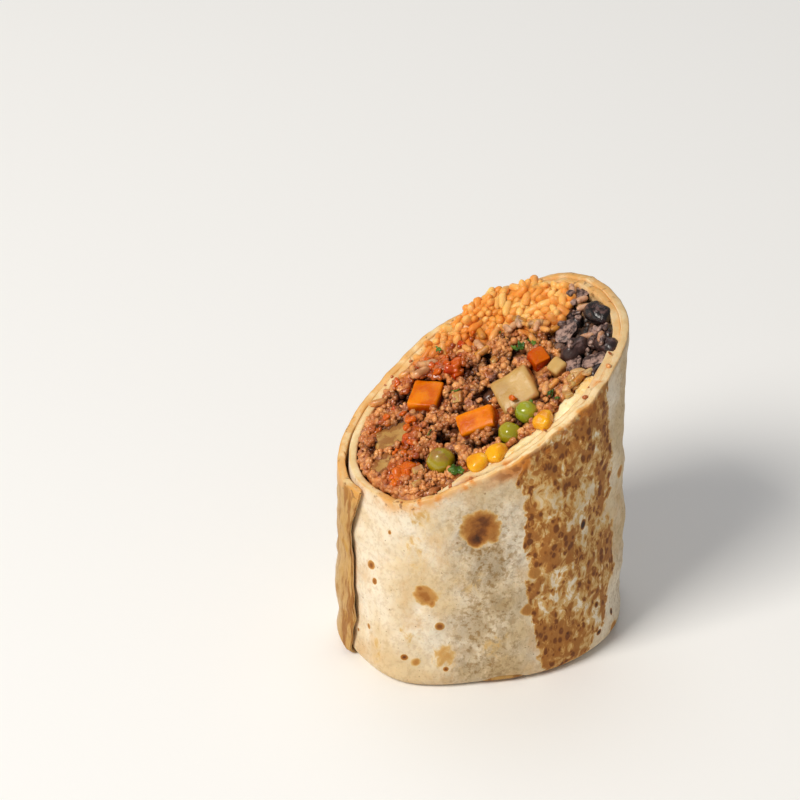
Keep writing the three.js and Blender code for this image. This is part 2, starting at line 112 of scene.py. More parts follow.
def ripples(points, size, seed, waves=14):
    """Smooth unevenness of about -1 to 1, in swells about `size` across."""
    draw = np.random.default_rng(seed)
    total = np.zeros(points.shape[:-1])
    for _ in range(waves):
        way = draw.normal(size=points.shape[-1])
        way *= draw.uniform(0.7, 1.4) * 2 * np.pi / size / np.linalg.norm(way)
        total += np.sin(points @ way + draw.uniform(0, 2 * np.pi))
    return total / np.sqrt(waves)


def rim_height(turn):
    """Height of the cut edge: where the wall meets the slanted cut, with the knife's own waver."""
    away = ((turn - RIM_DIP_AT + 540) % 360) - 180
    waver = 0.35 * np.sin(np.radians(2.3 * turn)) + 0.25 * np.sin(np.radians(5.1 * turn))
    waver = waver - RIM_DIP_DEPTH * hump(away, 0, RIM_DIP_WIDTH)
    z = np.full_like(turn, CUT_HEIGHT)
    for _ in range(4):
        z = cut_height(wall_radius(turn, z) * np.cos(np.radians(turn))) + waver
    along = np.stack([turn * EDGE_ARC, 0 * turn], -1)
    return z + 0.26 * ripples(along, 9, 3) + 0.07 * ripples(along, 3.0, 4)


def new_piece(name, shape, finish=None):
    """A smooth mesh object from (points in millimetres, faces, marks).

    A mark is one number or one vector for each point, or one number for them all.
    """
    points, faces, marks = shape
    mesh = bpy.data.meshes.new(name)
    mesh.from_pydata((np.asarray(points) / 1000).tolist(), [], [list(map(int, face)) for face in faces])
    for mark, values in marks.items():
        wide = np.ndim(values) == 2
        values = np.broadcast_to(values, (len(points), 3) if wide else len(points)).astype(np.float32)
        layer = mesh.attributes.new(mark, "FLOAT_VECTOR" if wide else "FLOAT", "POINT")
        layer.data.foreach_set("vector" if wide else "value", values.ravel())
    mesh.polygons.foreach_set("use_smooth", [True] * len(mesh.polygons))
    if finish:
        mesh.materials.append(finish)
    mesh.update()
    piece = bpy.data.objects.new(name, mesh)
    bpy.context.scene.collection.objects.link(piece)
    return piece


def joined(parts):
    """Several (points, faces, marks) as one; where a part lacks a mark, it is 0."""
    starts = np.cumsum([0] + [len(points) for points, _, _ in parts])
    faces = [[corner + start for corner in face] for part, start in zip(parts, starts) for face in part[1]]
    marks = {}
    for mark in dict.fromkeys(name for part in parts for name in part[2]):
        values = [np.broadcast_to(its.get(mark, 0.0), len(points)) for points, _, its in parts]
        marks[mark] = np.concatenate(values)
    return np.concatenate([points for points, _, _ in parts]), faces, marks


def quads(index):
    """Faces between the rows of a grid of point numbers, each row closed on itself."""
    after = np.roll(index, -1, axis=1)
    return np.stack([index[:-1], index[1:], after[1:], after[:-1]], -1).reshape(-1, 4).tolist()


# ---- the rolled sheet: a row of cross-sections, each up the outside, over the cut edge and down the inside
OVER_EDGE = [(0.12, 0.12), (0.3, 0.19), (0.5, 0.22), (0.7, 0.19), (0.88, 0.12)]  # share of thickness, height
EDGE_DROP = 0.15  # how far the edge's corners are rounded down
FOOT_GAP = 0.12
NOTCHES = [(616, 10, 3.0), (256, 12, 1.3)]  # turn, width and height where the sheet clears the folded end
coarse, even = np.arange(ROLL_START, 545, 2.5), np.arange(545, ROLL_END - 1.9)
turns = np.concatenate([coarse, even, [ROLL_END - 1.4, ROLL_END - 0.5, ROLL_END]])
thin = np.interp(turns, [ROLL_START, ROLL_START + 3, ROLL_END - 2, ROLL_END], [0.25, 1, 1, 0.3])
rims = rim_height(turns) - 2.2 * (1 - rise(turns, ROLL_START, ROLL_START + 11))
feet = FOOT_GAP + sum(tall * hump(turns, turn, wide, 4) for turn, wide, tall in NOTCHES)
steps = np.concatenate([np.linspace(0, 1, 7)[:-1] ** 1.3 * 0.05, 0.05 + 0.95 * np.linspace(0, 1, 55) ** 0.92])
wander = rise((turns - ROLL_START) / (ROLL_END - ROLL_START), 0.9, 1)


def sheet_points(z, depth):
    """Points of the sheet, one row a turn, at these heights and this deep below its outer face."""
    turn = turns[:, None] + 2.5 * np.sin(0.13 * z) * wander[:, None]
    middle = ring(np.radians(turn), wall_radius(turn, z), z)
    outermost = rise(turns[:, None], 520, 560)
    swell = 0.34 * ripples(middle, 19, 11) + (0.07 + 0.1 * outermost) * ripples(middle, 7, 12)
    swell = (swell + 0.05 * outermost * ripples(middle, 2.8, 13)) * rise(z, 0, 8)
    swell = swell * (1 - 0.7 * rise(z - cut_height(middle[..., 0]), -9, -1))
    return ring(np.radians(turn), wall_radius(turn, z) + swell - depth, z)


heights = feet[:, None] + (rims - EDGE_DROP - feet)[:, None] * steps
thick = DOUGH * (1 - 0.12 * rise(heights, 6, 0)) + 0.34 * rise(heights - rims[:, None], -6, -1)
thick = thin[:, None] * thick
slim = (DOUGH - DOUGH * thin)[:, None] / 2
outer = sheet_points(heights, slim + 0 * thick)
inner = sheet_points(heights, slim + thick)
tops = []
for share, proud in OVER_EDGE:
    along = np.stack([turns * EDGE_ARC, share * 2 + 0 * turns], -1)
    z = (rims - EDGE_DROP + proud + 0.05 * ripples(along, 3.1, 5))[:, None]
    tops.append(sheet_points(z, slim + share * thick[:, -1:]))
bottom = (outer[:, :1] + inner[:, :1]) / 2 - [0, 0, 0.1]
loop = np.concatenate([outer, *tops, inner[:, ::-1], bottom], axis=1)
rows = heights.shape[1]
index = np.arange(loop.shape[0] * loop.shape[1]).reshape(loop.shape[:2])
sheet_faces = quads(index)
for end, way in ((index[0], -1), (index[-1], 1)):
    up, down = end[:rows], end[-2:-2 - rows:-1]
    caps = [[up[j], up[j + 1], down[j + 1], down[j]] for j in range(rows - 1)]
    caps += [end[rows - 1:rows + len(tops) + 1][::-1], end[[0, -2, -1]]]
    sheet_faces += [list(face)[::way] for face in caps]

# ---- where the sheet is toasted, stained and cut, as marks for its finish
GRIDDLE_LEFT = [  # height, turn
    (0, 635), (3, 635), (11, 632), (18, 630), (25, 628), (33, 624), (40, 628), (47, 624), (54, 625),
    (67, 622), (70, 620), (78, 624), (84, 640), (90, 660),
]
GRIDDLE_RIGHT = [  # height, turn
    (0, 655), (5, 660), (10, 668), (19, 673), (25, 677), (32, 676), (45, 675), (60, 673), (84, 670),
    (90, 668),
]
PALE_ISLANDS = [  # turn, height, width, tallness
    (638, 61.7, 3.2, 5), (644, 41, 3.6, 3.6), (644, 26, 3, 2.6), (650, 33, 1.8, 3), (656, 55, 1.6, 3.5),
    (634, 50, 1.5, 2),
]
TANNED = [  # turn, height, width, tallness, strength
    (580, 31, 6, 7, 0.3), (561, 9, 2.2, 6, 0.5), (588, 11, 3.2, 5, 0.8), (575, 45, 5, 9, 0.35),
    (577, 58, 4.5, 4.5, 0.55), (574, 18, 4, 6, 0.4), (609, 14, 5, 6, 0.45), (598, 36, 5, 8, 0.3),
    (565, 62, 6, 4, 0.35), (603, 54, 9, 9, 0.3),
]
SMEARS = [  # x, y, width
    (-18.5, -28.4, 2.2), (-26.5, -26.0, 1.8), (-30.5, -22.5, 1.6), (-8.5, -30.4, 1.2), (20.5, -26.6, 1.3),
]
CUT_DEPTH = 2.2  # how far below the rim the dough still counts as cut
x_grid, y_grid, z_grid = np.moveaxis(loop, -1, 0)
turn_grid = turns[:, None] + 0 * z_grid
below_rim = rims[:, None] - z_grid


def patch(turn, z, wide, tall):
    return hump((turn_grid - turn) * WALL_ARC, 0, wide) * hump(z_grid, z, tall)


left, right = (np.interp(z_grid, *zip(*border)) for border in (GRIDDLE_LEFT, GRIDDLE_RIGHT))
griddle = np.minimum(turn_grid - left, right - turn_grid) * GRIDDLE_ARC / 5
griddle = griddle - 1.3 * sum(patch(*island) for island in PALE_ISLANDS)
back_left = 745 + 7 * np.sin(z_grid / 7.5) + 5 * np.sin(z_grid / 3.1 + 1)
back_right = 800 + 9 * np.sin(z_grid / 9 + 2) - 0.25 * z_grid
back_foot = 15 + 4 * np.sin(turn_grid / 6) + 3 * np.sin(turn_grid / 2.7)
back_patch = np.minimum(turn_grid - back_left, back_right - turn_grid) * GRIDDLE_ARC / 8
back_patch = np.minimum(back_patch, np.minimum(z_grid - back_foot, below_rim - back_foot) / 8)
# where the wall is greyed: partly the dough's own mottling, partly painted shade, most of it on the right
# side
front_grey = hump(turn_grid, 607, 17, 4) * rise(z_grid, -4, 6) * (1 - rise(z_grid, 54, 70))
side_grey_and_shade = rise(turn_grid, 668, 690) * (0.4 + 0.2 * rise(40 - z_grid, 0, 20))
greasy = hump(turn_grid, 571, 25, 4) + 0.9 * rise(turn_grid, 700, 738) + 0.9 * hump(turn_grid, 415, 80, 6)
smeared = sum(hump(x_grid, x, wide) * hump(y_grid, y, wide) for x, y, wide in SMEARS)
smeared = smeared * (below_rim < CUT_DEPTH)
sheet_marks = {
    "griddle": np.clip(np.maximum(griddle, back_patch), -1.2, 0.42),
    "dense": rise(z_grid, 58, 72) * rise(turn_grid, 634, 646) * rise(690 - turn_grid, 0, 14),
    "grey": np.maximum(front_grey, side_grey_and_shade),
    "grease": np.clip((1 - rise(below_rim, 0.8, 6)) * greasy, 0, 1),
    "lip": (1 - rise(below_rim, CUT_DEPTH, 6.5)) * hump(turn_grid, 634, 27, 4),
    "crumb": np.repeat([0, 0.5, 1, 0.5, 0, 0.6], [rows - 1, 1, len(tops), 1, rows - 1, 1]),
    "inside": np.concatenate([np.zeros(rows), np.linspace(0.15, 0.85, len(tops)), np.ones(rows), [0.5]]),
    "flap": rise(turn_grid, ROLL_END - 26, ROLL_END - 4),
    "tanned": np.max([strength * patch(*oval) for *oval, strength in TANNED], axis=0),
    # how far the cut edge is darkened towards the right: painted shade
    "shade_to_right": rise(x_grid, 4, 26),
    "smeared": np.clip(smeared, 0, 1),
}
sheet_marks = {mark: np.ravel(np.broadcast_to(values, z_grid.shape)) for mark, values in sheet_marks.items()}

# ---- the folded end that closes the foot: two folds meet along a crease underneath, one lip shows in front
SPOKES = 180
FOOT_LEVELS = (FOOT_DEPTH, 6, 4, 2.6, 1.5, 0.8, 0.35, 0.1, 0)
CREASE = [(-40, -17), (-24, -15), (-11, 1), (7, 11), (20, 13)]  # y, x
LIP_AT, LIP_WIDTH, LIP_OUT = 254, 13, 1.5
angles = np.linspace(0, 2 * np.pi, SPOKES + 1)[:-1]
lip_out = LIP_OUT * hump(np.degrees(angles) % 360, LIP_AT, LIP_WIDTH, 4)
rings = []
for z in FOOT_LEVELS:
    radius = roll_radius(angles, z) - 0.6 * DOUGH - foot_inset(z) + lip_out * (1 - rise(z, 2.2, 3.6))
    rings.append(ring(angles, radius, float(z)))
rings += [rings[-1] * [share, share, 1] for share in np.linspace(0.95, 0.05, 19)]
foot = np.concatenate(rings)
side_points = len(FOOT_LEVELS) * SPOKES
under = np.arange(len(foot)) >= side_points - SPOKES
x, y, _ = foot.T
groove = hump(x, np.interp(y, *zip(*CREASE)), 1.1) * (y < 21)
pleats = 0.5 + 0.5 * np.sin(9 * np.arctan2(y + 4, x - 6) + 0.16 * np.hypot(x, y))
foot[:, 2] += under * (1.2 * groove + 0.5 * pleats ** 4 * rise(np.hypot(x, y), 12, 30))
foot_index = np.arange(len(foot)).reshape(-1, SPOKES)
foot_faces = quads(foot_index) + [foot_index[-1][::-1].tolist(), foot_index[0].tolist()]
# the folded end is greyed all over and its lip is darkened with the flap's tan: painted shade under the
# wall's lower edge
lip_shade = np.zeros(len(foot))
lip_shade[:side_points] = np.tile(np.clip(lip_out, 0, 1), len(FOOT_LEVELS))
foot_marks = {"griddle": -1.0, "grey": 0.8, "flap": lip_shade}


# ---- its finish
def linear(red, green, blue):
    """A colour given as 0 to 255 on a screen, as a shader's linear colour."""
    screen = np.array([red, green, blue])
    light = np.where(screen < 11, screen / 3294.6, ((screen / 255 + 0.055) / 1.055) ** 2.4)
    return (*light.tolist(), 1.0)


def add(tree, kind, inputs=None, **settings):
    """A node of this kind, with its settings made and its inputs set or linked."""
    node = tree.nodes.new(kind)
    for setting, value in settings.items():
        setattr(node, setting, value)
    for name, value in (inputs or {}).items():
        if isinstance(value, bpy.types.NodeSocket):
            tree.links.new(value, node.inputs[name])
        else:
            node.inputs[name].default_value = value
    return node


def new_finish(name):
    """A material, its shader, and the place on the piece that its patterns follow."""
    finish = bpy.data.materials.new(name)
    finish.use_nodes = True
    place = add(finish.node_tree, "ShaderNodeTexCoord").outputs["Object"]
    return finish, finish.node_tree.nodes["Principled BSDF"], place


def maths(operation, *values):
    tree = next(value.id_data for value in values if isinstance(value, bpy.types.NodeSocket))
    return add(tree, "ShaderNodeMath", dict(enumerate(values)), operation=operation).outputs[0]


def times(first, second):
    return maths("MULTIPLY", first, second)


def times_plus(first, second, extra):
    return maths("MULTIPLY_ADD", first, second, extra)


def larger(first, second):
    return maths("MAXIMUM", first, second)


def step(value, low, high, start=0.0, end=1.0):
    """Turns smoothly from `start` where the value is `low` to `end` where it is `high`."""
    inputs = {"Value": value, "From Min": low, "From Max": high, "To Min": start, "To Max": end}
    return add(value.id_data, "ShaderNodeMapRange", inputs, interpolation_type="SMOOTHSTEP").outputs["Result"]


def cloud(place, size, detail=2.0, rough=0.5, twist=0.0):
    """Soft noise whose swells are `size` millimetres across."""
    inputs = {"Vector": place, "Scale": 700 / size, "Detail": detail, "Roughness": rough, "Distortion": twist}
    return add(place.id_data, "ShaderNodeTexNoise", inputs).outputs["Fac"]


def mark_of(place, name):
    return add(place.id_data, "ShaderNodeAttribute", attribute_name=name).outputs["Fac"]


def stretched(place, along_z):
    return add(place.id_data, "ShaderNodeMapping", {"Vector": place, "Scale": (1.0, 1.0, along_z)}).outputs[0]


def layered(colour, *layers):
    """A colour with others laid over it; each layer is its mask and its colour."""
    for mask, over in layers:
        first, second = (linear(*each) if isinstance(each, tuple) else each for each in (colour, over))
        inputs = {0: mask, 6: first, 7: second}
        colour = add(mask.id_data, "ShaderNodeMix", inputs, data_type="RGBA").outputs[2]
    return colour


def surface(shader, colour, roughness, relief, depth, soft=(), coat=(), specular=0.5):
    """Links what varies over the piece to its shader and sets what doesn't on the shader's own sockets.

    `depth` is the relief's in millimetres. `soft` is how much light goes in, how far its red, green and blue
    reach, and the scale of that; `coat` is how wet the surface is, and how rough the wet film.
    """
    tree = shader.id_data
    bump = add(tree, "ShaderNodeBump", {"Height": relief, "Distance": depth / 1000})
    for value, socket in ((colour, "Base Color"), (roughness, "Roughness"), (bump.outputs[0], "Normal")):
        tree.links.new(value, shader.inputs[socket])
    constants = dict(zip(("Subsurface Weight", "Subsurface Radius", "Subsurface Scale"), soft))
    constants.update(zip(("Coat Weight", "Coat Roughness"), coat))
    constants["Specular IOR Level"] = specular
    for socket, value in constants.items():
        shader.inputs[socket].default_value = value


def new_group(kind, name, inputs, outputs):
    """A node group of this kind, what it is given, and what it hands back."""
    group = bpy.data.node_groups.new(name, kind)
    for socket, (socket_kind, start) in inputs.items():
        made = group.interface.new_socket(socket, in_out="INPUT", socket_type=socket_kind)
        if start is not None:
            made.default_value = start
    for socket, socket_kind in outputs.items():
        group.interface.new_socket(socket, in_out="OUTPUT", socket_type=socket_kind)
    return group, group.nodes.new("NodeGroupInput").outputs, group.nodes.new("NodeGroupOutput").inputs


NUMBER, VECTOR = "NodeSocketFloat", "NodeSocketVector"

# one toasted blister: ragged at its border, darker at its heart
toasted_spot, given, result = new_group(
    "ShaderNodeTree",
    "toasted spot",
    {
        "Position": (VECTOR, None), "Centre": (VECTOR, None), "Radius": (NUMBER, 1.0), "Tall": (NUMBER, 1.0),
        "Toast": (NUMBER, 0.5), "Ragged": (NUMBER, 0.35),
    },
    {"Toast": NUMBER},
)
inputs = {0: given["Position"], 1: given["Centre"]}
offset = add(toasted_spot, "ShaderNodeVectorMath", inputs, operation="SUBTRACT").outputs[0]
x, y, z = add(toasted_spot, "ShaderNodeSeparateXYZ", {0: offset}).outputs
inputs = {0: x, 1: y, 2: maths("DIVIDE", z, given["Tall"])}
squeezed = add(toasted_spot, "ShaderNodeCombineXYZ", inputs).outputs[0]
length = add(toasted_spot, "ShaderNodeVectorMath", {0: squeezed}, operation="LENGTH").outputs["Value"]
away = maths("DIVIDE", times(length, 1000.0), given["Radius"])
ragged = maths("SUBTRACT", cloud(given["Position"], 2.6, 3.0, 0.6), 0.5)
away = times_plus(ragged, given["Ragged"], away)
heart = step(maths("ADD", away, times(ragged, 1.1)), 0.75, 0.1, 0.62, 1.0)
toast = times(times(step(away, 1.12, 0.7), heart), given["Toast"])
toasted_spot.links.new(toast, result["Toast"])

dough, shader, place = new_finish("griddled wheat dough")


def spot(turn, z, radius, toast, tall=1.0, ragged=0.9):
    """A blister on the outer wall; its radius is in millimetres and its toast is 1 where it is black."""
    centre = tuple(ring(np.radians(turn), wall_radius(turn, z), z) / 1000)
    inputs = {"Position": place, "Centre": centre, "Radius": radius, "Tall": tall}
    inputs.update({"Toast": toast, "Ragged": ragged})
    return add(place.id_data, "ShaderNodeGroup", inputs, node_tree=toasted_spot).outputs["Toast"]


def cells(place, scale):
    """How far the nearest of many scattered points is, and that point's own random number."""
    nearest = add(place.id_data, "ShaderNodeTexVoronoi", {"Vector": place, "Scale": scale}).outputs
    pick = add(place.id_data, "ShaderNodeSeparateColor", {0: nearest["Color"]}).outputs[0]
    return nearest["Distance"], pick


SPOTS = [  # turn, height, radius, toast, tallness, raggedness
    (603, 54.2, 6.0, 0.74, 1.05), (600.5, 51, 2.8, 0.92, 1.2), (580, 31.4, 3.6, 0.5, 1.05),
    (582.5, 29.2, 1.2, 0.56, 1.2), (577.5, 33.4, 1.2, 0.52), (554, 35.2, 1.5, 0.62, 1.0, 0.6),
    (557, 31.0, 1.1, 0.78, 1.0, 0.6), (586, 21.7, 1.5, 0.62, 1.0, 0.6), (573, 10.4, 1.2, 0.8, 0.9, 0.6),
    (589, 7.2, 0.9, 0.7, 1.0, 0.6), (555, 14.7, 0.8, 0.5, 1.4, 0.6), (548, 10.2, 0.6, 0.7, 1.0, 0.6),
    (563, 49.2, 0.7, 0.6, 1.0, 0.6), (655, 47.7, 1.2, 1.2, 1.7, 0.6), (676, 9.6, 1.0, 1.0, 1.2, 0.6),
    (665, 7.2, 1.1, 1.0, 1.0, 0.6), (647, 12.4, 1.0, 0.9, 1.0, 0.6), (663, 17.7, 1.0, 0.9, 1.0, 0.6),
    (712, 52, 5.2, 0.6), (726, 24, 3.6, 0.5, 1.1), (838, 40, 6.4, 0.7), (856, 20, 4.2, 0.5),
    (868, 58, 3.4, 0.5), (823, 66, 3.0, 0.6),
]
toast = spot(*SPOTS[0])
for each in SPOTS[1:]:
    toast = larger(toast, spot(*each))
# small random blisters all over
away, pick = cells(place, 95.0)
dots = step(times_plus(cloud(place, 1.8), 0.12, away), 0.3, 0.2)
toast = larger(toast, times(times(dots, step(pick, 0.66, 0.72)), 0.42))
# the griddled area: a ragged net of brown over cream, with small scorched dots in it
drawn_out = stretched(place, 0.66)
net = maths("SUBTRACT", cloud(drawn_out, 6.5, 2.0, 0.6, 0.5), 0.5)
fine = maths("SUBTRACT", cloud(drawn_out, 1.9, 3.0, 0.65, 0.6), 0.5)
border = times_plus(net, 1.4, mark_of(place, "griddle"))
touched = step(times_plus(fine, 1.2, border), -0.2, 0.2)
cover = times_plus(mark_of(place, "dense"), 0.05, times_plus(fine, 1.25, net))
tan = times(step(cover, -0.34, -0.06), 0.2)
browned = times_plus(step(cover, -0.08, 0.1), 0.26, tan)
away, pick = cells(drawn_out, 560.0)
dot_size = times_plus(pick, 0.46, times_plus(cover, 0.5, 0.06))
scorched = step(maths("SUBTRACT", dot_size, times_plus(fine, 0.3, away)), -0.14, 0.12)
griddled = times_plus(scorched, 0.24, times_plus(fine, 0.22, browned))
toast = larger(toast, times(griddled, touched))
tan_reach = times_plus(fine, 1.4, mark_of(place, "tanned"))
toast = larger(toast, step(tan_reach, 0.05, 0.9, 0.0, 0.26))

# the untoasted dough, floury in places and greyed in mottled patches at the front and on the right side:
# partly the dough's own mottling and partly painted shade
flour = step(cloud(place, 17, 3.0, 0.6, 0.4), 0.36, 0.62)
warm = step(cloud(drawn_out, 7, 4.0, 0.65, 0.5), 0.46, 0.72)
speck = step(cloud(place, 1.1, 2.0, 0.7), 0.46, 0.66)
blotch = step(cloud(drawn_out, 4.0, 4.0, 0.7, 0.4), 0.36, 0.6)
# the mottled grey, partly painted shade
greyed_and_shaded = times(mark_of(place, "grey"), times_plus(speck, 0.42, times_plus(blotch, 0.5, 0.1)))
fleck = step(cloud(place, 0.8, 1.0), 0.73, 0.78)
cream = layered(
    (220, 194, 151),
    (flour, (240, 226, 202)),
    (times(warm, 0.7), (212, 174, 124)),
    (greyed_and_shaded, (150, 121, 76)),
    (times(speck, 0.24), (168, 130, 84)),
    (times(fleck, 0.6), (128, 92, 48)),
)

# the colour of each degree of toast, from straw to nearly black
TOAST_TONES = [
    (0.14, (216, 178, 114)), (0.3, (196, 142, 72)), (0.5, (162, 100, 36)), (0.7, (118, 64, 18)),
    (0.86, (84, 44, 12)),
]
tones = add(dough.node_tree, "ShaderNodeValToRGB", {"Fac": toast})
stops = tones.color_ramp.elements
stops[0].color, stops[1].color = linear(236, 208, 158), linear(44, 22, 10)
for where, colour in TOAST_TONES:
    stops.new(where).color = linear(*colour)
lip, flap, inside = (mark_of(place, mark) for mark in ("lip", "flap", "inside"))
lip_stain = times(lip, step(cloud(place, 3.6, 3.0, 0.6), 0.4, 0.52, 0.0, 0.95))
lip_specks = times(lip, step(cloud(place, 1.9, 2.0, 0.6), 0.47, 0.58))
streak = step(cloud(stretched(place, 0.22), 2.6, 4.0, 0.7, 0.3), 0.44, 0.6, 0.0, 0.95)
skin = layered(
    cream,
    (step(toast, 0.01, 0.2), tones.outputs["Color"]),
    (lip_stain, (206, 120, 28)),
    # the free end's own tan and streaks; on the folded end's lip the same tan is painted shade
    (times(flap, 0.85), (192, 145, 70)),
    (times(flap, streak), (150, 96, 36)),
    (times(lip_specks, 0.75), (146, 80, 24)),
)

# the cut edge, which is bread with golden borders and painted shade towards the right side, and the stains of
# the filling on it and on the inner face
off_centre = maths("ABSOLUTE", maths("SUBTRACT", inside, 0.5))
golden = times(step(off_centre, 0.16, 0.45), step(cloud(place, 4.5, 3.0), 0.4, 0.62, 0.1, 0.8))
outer_half = times(lip, step(inside, 0.62, 0.3))
bread = layered(
    (228, 200, 146),
    (step(cloud(place, 2.4, 4.0, 0.65), 0.4, 0.64), (240, 220, 176)),
    (golden, (214, 154, 76)),
    # painted shade: the cut edge darkens towards the right side of the roll
    (times(mark_of(place, "shade_to_right"), 0.42), (190, 150, 102)),
    (times(outer_half, step(cloud(place, 3.6, 3.0, 0.6), 0.4, 0.56, 0.15, 0.9)), (216, 144, 52)),
)
inner_skin = layered((236, 208, 164), (step(cloud(place, 6, 3.0), 0.4, 0.65), (222, 176, 112)))
crumb, grease = mark_of(place, "crumb"), mark_of(place, "grease")
oily = times(grease, step(cloud(place, 4.0, 3.0, 0.6), 0.36, 0.56, 0.2, 1.0))
seared = times(grease, step(cloud(place, 1.3, 2.0), 0.62, 0.7))
skin = layered(
    skin,
    (crumb, bread),
    (times(mark_of(place, "smeared"), step(cloud(place, 1.8, 3.0, 0.6), 0.36, 0.56)), (216, 128, 30)),
    (step(inside, 0.9, 1.0), inner_skin),
    (times(oily, 0.8), (220, 156, 68)),
    (times(seared, 0.7), (120, 70, 26)),
)
blisters = times(cloud(place, 4.6, 3.0, 0.55), 0.5)
blisters = times_plus(cloud(place, 1.3, 2.0, 0.6), 0.22, blisters)
blisters = times_plus(toast, 0.12, blisters)
blisters = times_plus(times(crumb, cloud(place, 1.6, 3.0, 0.6)), 0.12, blisters)
roughness = step(oily, 0.1, 0.9, 0.72, 0.4)
surface(shader, skin, roughness, blisters, 1.0, (0.12, (1.0, 0.6, 0.35), 0.002), specular=0.35)

sheet = (loop.reshape(-1, 3), sheet_faces, sheet_marks)
tortilla = new_piece("rolled_tortilla", joined([sheet, (foot, foot_faces, foot_marks)]), dough)
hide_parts("tortilla")
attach(tortilla, "root")

# ==== Carrot dice =======================================================================================
# Three dice of boiled carrot, sliced through by the knife and lying in the mince. Orange all through, wet and
# slightly see-through at the corners. Each is a block with soft corners, turned and leaned as it lies.
lying = []  # every piece pressed into the filling, so that what is packed round it keeps clear


def tilt(turn, lean):
    a, b, c = np.radians([turn, lean[0], lean[1]])
    about_z = np.array([[np.cos(a), -np.sin(a), 0], [np.sin(a), np.cos(a), 0], [0, 0, 1]])
    about_x = np.array([[1, 0, 0], [0, np.cos(b), -np.sin(b)], [0, np.sin(b), np.cos(b)]])
    about_y = np.array([[np.cos(c), 0, np.sin(c)], [0, 1, 0], [-np.sin(c), 0, np.cos(c)]])
    return about_y @ about_x @ about_z


def press_in(points, at, rise_by, turn=0, lean=(0, 0), half=None, proud=0.0):
    """Lays a piece on the cut and notes it in `lying`, with its half size or its radius."""
    origin, turned = np.array([*at, cut_height(at[0]) + rise_by]), tilt(turn, lean)
    if half is not None:
        lying.append((origin, turned, half, proud))
    return points @ turned.T + origin


def swollen(points, amount):
    """Points moved outwards from the middle, each by its own amount."""
    return points + points / np.linalg.norm(points, axis=1, keepdims=True) * amount[:, None]


def block(size, softness, seed, cells_across=12):
    """An uneven die with soft corners; its origin is in the middle of its top."""
    made = bmesh.new()
    bmesh.ops.create_cube(made, size=1)
    bmesh.ops.subdivide_edges(made, edges=made.edges[:], cuts=cells_across - 1, use_grid_fill=True)
    points = np.array([vertex.co[:] for vertex in made.verts])
    faces = [[vertex.index for vertex in face.verts] for face in made.faces]
    made.free()
    points = np.sign(points) * (1 - (1 - np.abs(2 * points)) ** 1.5) / 2
    corners = np.random.default_rng(seed).uniform(-0.09, 0.09, (2, 2, 2, 3))
    weight = np.moveaxis(np.stack([0.5 - points, 0.5 + points]), -1, 0)
    shift = np.einsum("in,jn,kn,ijkc->nc", *weight, corners)
    half = np.array(size) / 2
    points = (points + shift * [1, 1, 0.4]) * size
    core = np.clip(points, -(half - softness), half - softness)
    out = points - core
    length = np.linalg.norm(out, axis=1, keepdims=True)
    points = np.where(length > softness, core + out / np.maximum(length, 1e-9) * softness, points)
    dents = 0.12 * ripples(points + 50 * seed, 6, seed) + 0.05 * ripples(points, 1.8, seed + 1)
    return swollen(points, dents) - [0, 0, half[2]], faces


def dice(places, softness, seed, buried=0):
    """Dice as one shape; `buried` is how far what lies round the sunken ones may creep over their edges."""
    parts = []
    for order, (at, rise_by, size, turn, lean) in enumerate(places):
        points, faces = block(size, softness, seed + order)
        half = np.array([size[0] / 2, size[1] / 2, size[2]])
        marks = {
            "top": 1 - rise(-points[:, 2], 0, half[2] * 0.5),
            "rim": np.clip(np.max(np.abs(points[:, :2]) / half[:2], axis=1), 0, 1),
            "tone": order / 8 + 0.05,
        }
        half, proud = half - buried * (rise_by < 0), max(0, rise_by + 0.6)
        parts.append((press_in(points, at, rise_by, turn, lean, half, proud), faces, marks))
    return joined(parts)


CARROTS = [  # place, rise, size, turn, lean
    ((13.6, -4.6), 1.6, (5.2, 5.4, 8), 4, (20, -12)),
    ((-14.0, 10.4), 1.8, (9.8, 8.8, 9), 48, (6, -16)),
    ((-9.0, -11.4), 2.2, (11.2, 6.6, 9), -26, (20, -38)),
]
carrot_flesh, shader, place = new_finish("boiled carrot")
flesh = layered(
    (204, 91, 0),
    (step(cloud(place, 4, 3.0), 0.35, 0.65), (230, 127, 0)),
    (step(cloud(place, 0.8, 2.0, 0.6), 0.55, 0.75, 0.0, 0.35), (236, 138, 12)),
    (step(mark_of(place, "tone"), 0.12, 0.02, 0.0, 0.7), (176, 52, 0)),
    # painted shade: each die's sides are a darker red than its top
    (step(mark_of(place, "top"), 0.98, 0.6, 0.0, 0.7), (186, 54, 0)),
)
roughness, relief = step(cloud(place, 2.5), 0.4, 0.65, 0.24, 0.45), cloud(place, 1.2, 3.0, 0.6)
surface(shader, flesh, roughness, relief, 0.16, (0.35, (1.0, 0.35, 0.08), 0.002), (0.02, 0.18), 0.14)
carrot_dice = new_piece("carrot_dice", dice(CARROTS, 1.0, 41), carrot_flesh)
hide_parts("carrot_1", "carrot_2", "carrot_3")
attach(carrot_dice, "root")

# ==== Potato dice =======================================================================================
# Boiled potato, pale yellow and waxy, fried brown along some edges. The largest lies in the middle of the
# cut, two lie by the low side half buried in mince, and a small one is pressed against the beans.
POTATOES = [  # place, rise, size, turn, lean
    ((3.4, -9.9), 1.5, (12, 10.8, 9), -14, (22, -38)),
    ((-26.2, 6.0), -0.5, (11, 8.4, 8), -16, (4, -26)),
    ((-32.0, -1.4), -0.6, (7.5, 7, 7), 12, (6, -26)),
    ((15.2, -11.9), 1.6, (4.8, 4.8, 5), 12, (14, -28)),
]
potato_flesh, shader, place = new_finish("waxy potato")
tone = mark_of(place, "tone")
